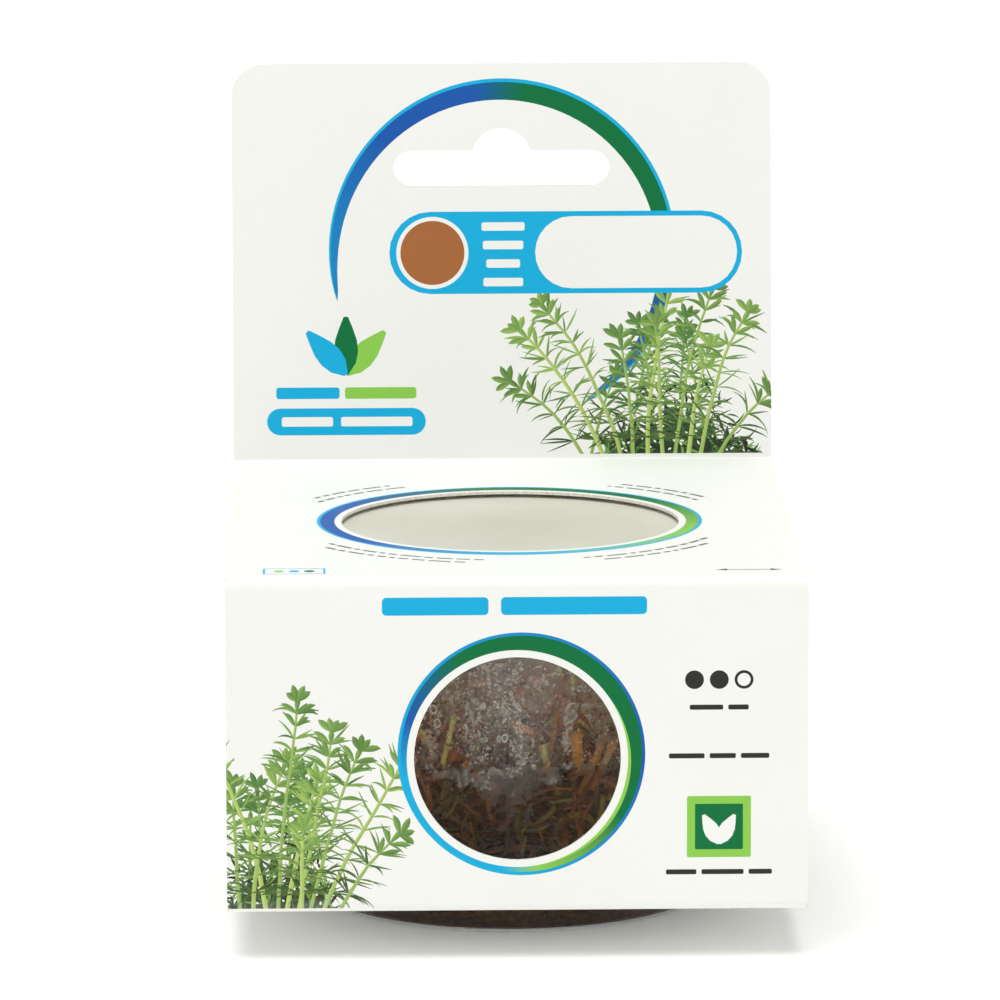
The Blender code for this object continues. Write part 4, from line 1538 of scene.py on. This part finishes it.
# Leaves pressed on the front wall: degrees from the front, height (mm), heading in degrees,
# length and width (mm), bow, colour and brightness
FRONT_LEAVES = (
    (-15.9, 29.8, 75, 4.4, 0.70, 0.05, "olive", 1.15),
    (-17.8, 26.0, 73, 3.1, 0.75, -0.06, "olive", 1.1),
    (15.7, 26.2, 99, 6.4, 1.60, 0.04, "rust", 0.72), (18.6, 22.8, 68, 5.6, 1.15, 0.15, "rust", 0.7),
    (20.4, 25.2, 70, 7.6, 0.95, -0.12, "rust", 0.6), (22.6, 24.1, 66, 7.4, 1.10, 0.10, "rust", 0.66),
    (21.9, 27.4, 84, 6.4, 0.55, 0.12, "dusk", 1.0), (24.6, 25.6, 68, 6.0, 0.60, -0.2, "dusk", 1.2),
    (8.9, 20.9, 9, 6.2, 0.45, -0.38, "rust", 0.75), (11.7, 19.3, 6, 3.9, 0.50, -0.2, "olive", 0.8),
    (2.1, 15.3, 48, 1.9, 0.55, 0.2, "olive", 1.0), (6.0, 15.4, 11, 3.1, 0.55, 0.25, "olive", 0.85),
    (7.3, 24.3, 28, 1.5, 0.75, 0.3, "rust", 1.2), (8.2, 24.8, 72, 1.1, 0.5, 0.0, "rust", 1.2),
    (-8.9, 36.8, 6, 2.9, 0.70, 0.2, "pink", 1.1), (5.4, 37.3, 12, 2.7, 1.0, -0.15, "pink", 1.0),
    (0.0, 35.2, 20, 4.1, 0.42, 0.35, "rust", 0.8), (-5.5, 34.7, 117, 2.8, 0.42, 0.3, "maroon", 1.0),
    (-21.0, 22.7, 16, 3.6, 1.30, 0.2, "maroon", 0.7), (-7.5, 20.4, 41, 5.5, 0.55, 0.25, "maroon", 0.8),
    (-4.3, 18.2, 25, 5.3, 0.50, -0.3, "maroon", 0.7), (-2.5, 16.3, 54, 3.2, 0.85, 0.2, "maroon", 0.95),
    (-11.2, 14.0, 99, 4.6, 0.40, 0.1, "rust", 0.6), (1.3, 13.3, 77, 3.2, 0.35, 0.1, "rust", 0.7),
    (7.3, 13.7, 107, 3.0, 0.35, -0.1, "rust", 0.7), (9.9, 39.1, 117, 2.6, 1.1, 0.1, "olive", 0.9),
    (-16.5, 18.3, 59, 4.1, 0.5, 0.3, "olive", 0.5), (-13.7, 15.9, 71, 3.5, 0.4, -0.2, "rust", 0.5),
    (11.9, 15.7, 53, 3.6, 0.45, 0.2, "rust", 0.6), (18.9, 17.5, 62, 4.0, 0.5, -0.2, "rust", 0.7),
    (-22.4, 28.2, 110, 3.2, 0.4, 0.2, "olive", 0.8), (-20.6, 31.6, 80, 3.0, 0.4, -0.3, "maroon", 0.7),
    (-2.0, 37.4, 150, 3.4, 0.6, 0.3, "maroon", 0.9), (2.6, 38.4, 35, 2.8, 0.6, -0.3, "maroon", 0.9),
    (17.5, 31.8, 118, 4.4, 0.5, 0.2, "dusk", 1.1), (13.6, 36.8, 95, 3.8, 0.9, 0.1, "olive", 0.6),
    (-0.5, 19.8, 68, 4.6, 0.5, 0.2, "maroon", 0.6), (3.6, 18.2, 120, 4.0, 0.5, 0.3, "dusk", 1.1),
    (-18.8, 13.4, 84, 3.9, 0.4, 0.1, "dusk", 1.0), (14.8, 21.9, 66, 3.6, 0.5, 0.2, "dusk", 1.2))
# Whorls seen end on: degrees from the front, height and leaf length (mm), colour, brightness
FRONT_WHORLS = (
    (14.4, 28.6, 1.9, "rust", 0.85), (-2.4, 36.2, 2.3, "maroon", 0.9),
    (15.9, 18.7, 1.9, "maroon", 0.8), (-11.8, 31.2, 2.2, "maroon", 0.7),
    (-16.0, 20.0, 2.4, "dusk", 1.0), (6.2, 30.4, 2.0, "maroon", 0.6),
    (-7.2, 38.9, 2.4, "pink", 0.8), (18.0, 35.0, 2.4, "dusk", 1.2))


def loose_leaves(plant, draw):
    """Settings of the leaves that lie against the wall, the front's own ones first."""
    leaves = []
    for angle, height, heading, reach, width, bow, name, shade in FRONT_LEAVES:
        leaves.append((math.radians(angle), height, math.radians(heading), reach, width, bow,
                       draw.uniform(0.15, 0.4), getattr(plant, name), shade))
    for angle, height, reach, name, shade in FRONT_WHORLS:
        for index in range(WHORL_LEAVES):
            heading = 2 * math.pi * index / WHORL_LEAVES + draw.uniform(-0.2, 0.2)
            span = reach * draw.uniform(0.8, 1.15)
            middle = math.radians(angle) + span / 2 * math.cos(heading) / WALL_BY_WINDOW
            leaves.append((middle, height + span / 2 * math.sin(heading), heading, span, 0.5,
                           draw.uniform(-0.3, 0.3), draw.uniform(0.3, 0.9),
                           getattr(plant, name), shade))
    while len(leaves) < plant.loose:
        name = draw.choice(("olive", "rust", "maroon", "dusk", "dusk", "pink"))
        height = draw.uniform(*LEAF_MIDDLES)
        if name == "pink" and height < PINK_LOWEST:
            continue
        # each leaf's tone differs at random and is darker towards the cup's floor
        shade = draw.uniform(0.82, 1.58) * (0.55 + 0.45 * height / LEAF_MIDDLES[1])
        leaves.append((draw.uniform(-math.pi, math.pi), height, draw.gauss(1.5, 0.9),
                       draw.uniform(3.5, 8.5), draw.uniform(0.5, 1.15), draw.uniform(-0.9, 0.9),
                       draw.uniform(0.8, 4.6), getattr(plant, name), shade))
    return leaves


class ROTALA_OT_loose_leaves(bpy.types.Operator):
    """Lay loose leaves against the cup's wall"""
    bl_idname = "rotala.loose_leaves"
    bl_label = "Loose leaves"

    def execute(self, context):
        plant, cup = context.scene.rotala_plant, context.scene.rotala_cup
        draw = random.Random(77)
        template = leaf_blank()
        template.verts.index_update()
        flat = [vert.co.copy() for vert in template.verts]
        faces = [[vert.index for vert in face.verts] for face in template.faces]
        template.free()
        points, polygons, tints_and_painted_light = [], [], []
        for angle, height, heading, reach, width, bend, depth, tone, shade in loose_leaves(
                plant, draw):
            polygons += [[index + len(points) for index in face] for face in faces]
            wave = draw.uniform(0, 6.28)
            lift = draw.uniform(0.0, 0.5)
            height = min(max(height, LEAVES_LOW + reach / 2), LEAVES_HIGH - reach / 2)
            for corner in flat:
                along = corner.x * reach
                side = corner.y * width + bend * reach * (corner.x ** 2 - 0.1)
                across = along * math.cos(heading) - side * math.sin(heading)
                up = height + along * math.sin(heading) + side * math.cos(heading)
                sunk = depth + 0.16 * width * (0.5 - corner.z) + lift * 4 * corner.x ** 2
                sunk += 0.25 * math.sin(6 * corner.x + wave) * min(depth, 1.0)
                room = (wall_radius(cup, up * MM) - cup.wall) / MM
                turn = angle + across / room - math.pi / 2
                place = (room - max(sunk, 0.08)) * MM
                points.append((place * math.cos(turn), place * math.sin(turn), up * MM))
                # painted light and shade: each leaf darker at its foot and edges, lighter at its tip
                # and midrib, and lighter by the window's sides
                light = shade * (0.7 + 0.4 * (corner.x + 0.5)) * (1.25 - 1.1 * abs(corner.y))
                light *= painted_window_light(points[-1][0], points[-1][1])
                tints_and_painted_light.append(lit_tone(tone, light))
        mesh = bpy.data.meshes.new("loose_leaves")
        mesh.from_pydata(points, [], polygons)
        tint = mesh.color_attributes.new("tint", "FLOAT_COLOR", "POINT")
        tint.data.foreach_set("color", np.array(tints_and_painted_light).ravel())
        finish_mesh("loose_leaves", mesh, (bpy.data.materials["rotala leaf"],),
                    sharp=60.0)
        return {"FINISHED"}


# Stage

CAMERA_PLACE = (-22.9 * MM, -1117.8 * MM, 254.3 * MM)
CAMERA_DOWN = math.radians(10.03)
CAMERA_YAW = math.radians(1.10)
CAMERA_ROLL = math.radians(-0.16)
CAMERA_LENS, CAMERA_SENSOR = 287.5, 36.0        # mm
FLOOR_HALF = 3.0                     # metres
HORIZON = (0.08, 0.3)                # the sky's upward component over which it dims
KEY_ASIDE = 0.08                     # the key light's slant from left to right


class ROTALA_OT_stage(bpy.types.Operator):
    """Set the floor, the lights and the camera"""
    bl_idname = "rotala.stage"
    bl_label = "Stage"

    def execute(self, context):
        scene = context.scene
        stage = scene.rotala_stage
        bm = bmesh.new()
        bmesh.ops.create_grid(bm, x_segments=8, y_segments=8, size=FLOOR_HALF)
        mesh = bpy.data.meshes.new("studio_floor")
        bm.to_mesh(mesh)
        bm.free()
        mesh.materials.append(pale_floor(stage))
        floor = bpy.data.objects.new("studio_floor", mesh)
        scene.collection.objects.link(floor)

        world = bpy.data.worlds.new("white surround")
        world.use_nodes = True
        tree = world.node_tree
        sky = tree.nodes["Background"]
        sky.inputs["Color"].default_value = (1.0, 1.0, 1.0, 1.0)
        way = add_node(tree, "ShaderNodeTexCoord").outputs["Generated"]
        rise = add_node(tree, "ShaderNodeSeparateXYZ", None, {"Vector": way}).outputs["Z"]
        tree.links.new(ramp_between(tree, rise, *HORIZON, stage.cove, stage.sky),
                       sky.inputs["Strength"])
        scene.world = world

        lamp = bpy.data.lights.new("key", "SUN")
        lamp.energy = stage.key
        lamp.angle = stage.key_spread
        key = bpy.data.objects.new("key", lamp)
        aim = Vector((KEY_ASIDE, math.cos(stage.key_rise), -math.sin(stage.key_rise)))
        key.location = Vector((0, 0, 0.05)) - 1.2 * aim
        key.rotation_euler = aim.to_track_quat("-Z", "Y").to_euler()
        scene.collection.objects.link(key)

        lens = bpy.data.cameras.new("camera")
        lens.lens = CAMERA_LENS
        lens.sensor_width = CAMERA_SENSOR
        lens.clip_start = 0.01
        camera = bpy.data.objects.new("camera", lens)
        camera.location = CAMERA_PLACE
        turn = (Matrix.Rotation(-CAMERA_YAW, 3, "Z")
                @ Matrix.Rotation(math.pi / 2 - CAMERA_DOWN, 3, "X")
                @ Matrix.Rotation(CAMERA_ROLL, 3, "Z"))
        camera.rotation_euler = turn.to_euler()
        scene.collection.objects.link(camera)
        scene.camera = camera
        scene.view_settings.view_transform = "Standard"
        return {"FINISHED"}


class ROTALA_PT_panel(bpy.types.Panel):
    """Lists the pieces and their settings"""
    bl_idname = "ROTALA_PT_panel"
    bl_label = "Rotala cup"
    bl_space_type = "VIEW_3D"
    bl_region_type = "UI"
    bl_category = "Rotala"

    def draw(self, context):
        for group, _, operators in STEPS:
            box = self.layout.box()
            settings = getattr(context.scene, group)
            for name in settings.bl_rna.properties.keys():
                if name not in ("rna_type", "name"):
                    box.prop(settings, name)
            for operator in operators:
                box.operator("rotala." + operator)


# The groups of settings in building order, each with the operators that read it
STEPS = (
    ("rotala_stage", StageSettings, ("stage",)),
    ("rotala_sleeve", SleeveSettings, ("sleeve",)),
    ("rotala_cup", CupSettings, ("cup", "lid", "gel", "condensation")),
    ("rotala_plant", PlantSettings, ("roots", "stems", "loose_leaves")),
)
CLASSES = (
    SleeveSettings, CupSettings, PlantSettings, StageSettings,
    ROTALA_OT_stage, ROTALA_OT_sleeve, ROTALA_OT_cup, ROTALA_OT_lid, ROTALA_OT_gel,
    ROTALA_OT_condensation, ROTALA_OT_roots, ROTALA_OT_stems, ROTALA_OT_loose_leaves,
    ROTALA_PT_panel,
)


def register():
    """Register the classes and give the scene its settings."""
    for item in CLASSES:
        bpy.utils.register_class(item)
    for name, kind, _ in STEPS:
        setattr(bpy.types.Scene, name, PointerProperty(type=kind))


def unregister():
    """Take away what register added."""
    for name, _, _ in STEPS:
        delattr(bpy.types.Scene, name)
    for item in reversed(CLASSES):
        bpy.utils.unregister_class(item)


def main():
    """Build the whole pack."""
    register()
    for _, _, operators in STEPS:
        for operator in operators:
            getattr(bpy.ops.rotala, operator)()


if __name__ == "__main__":
    main()
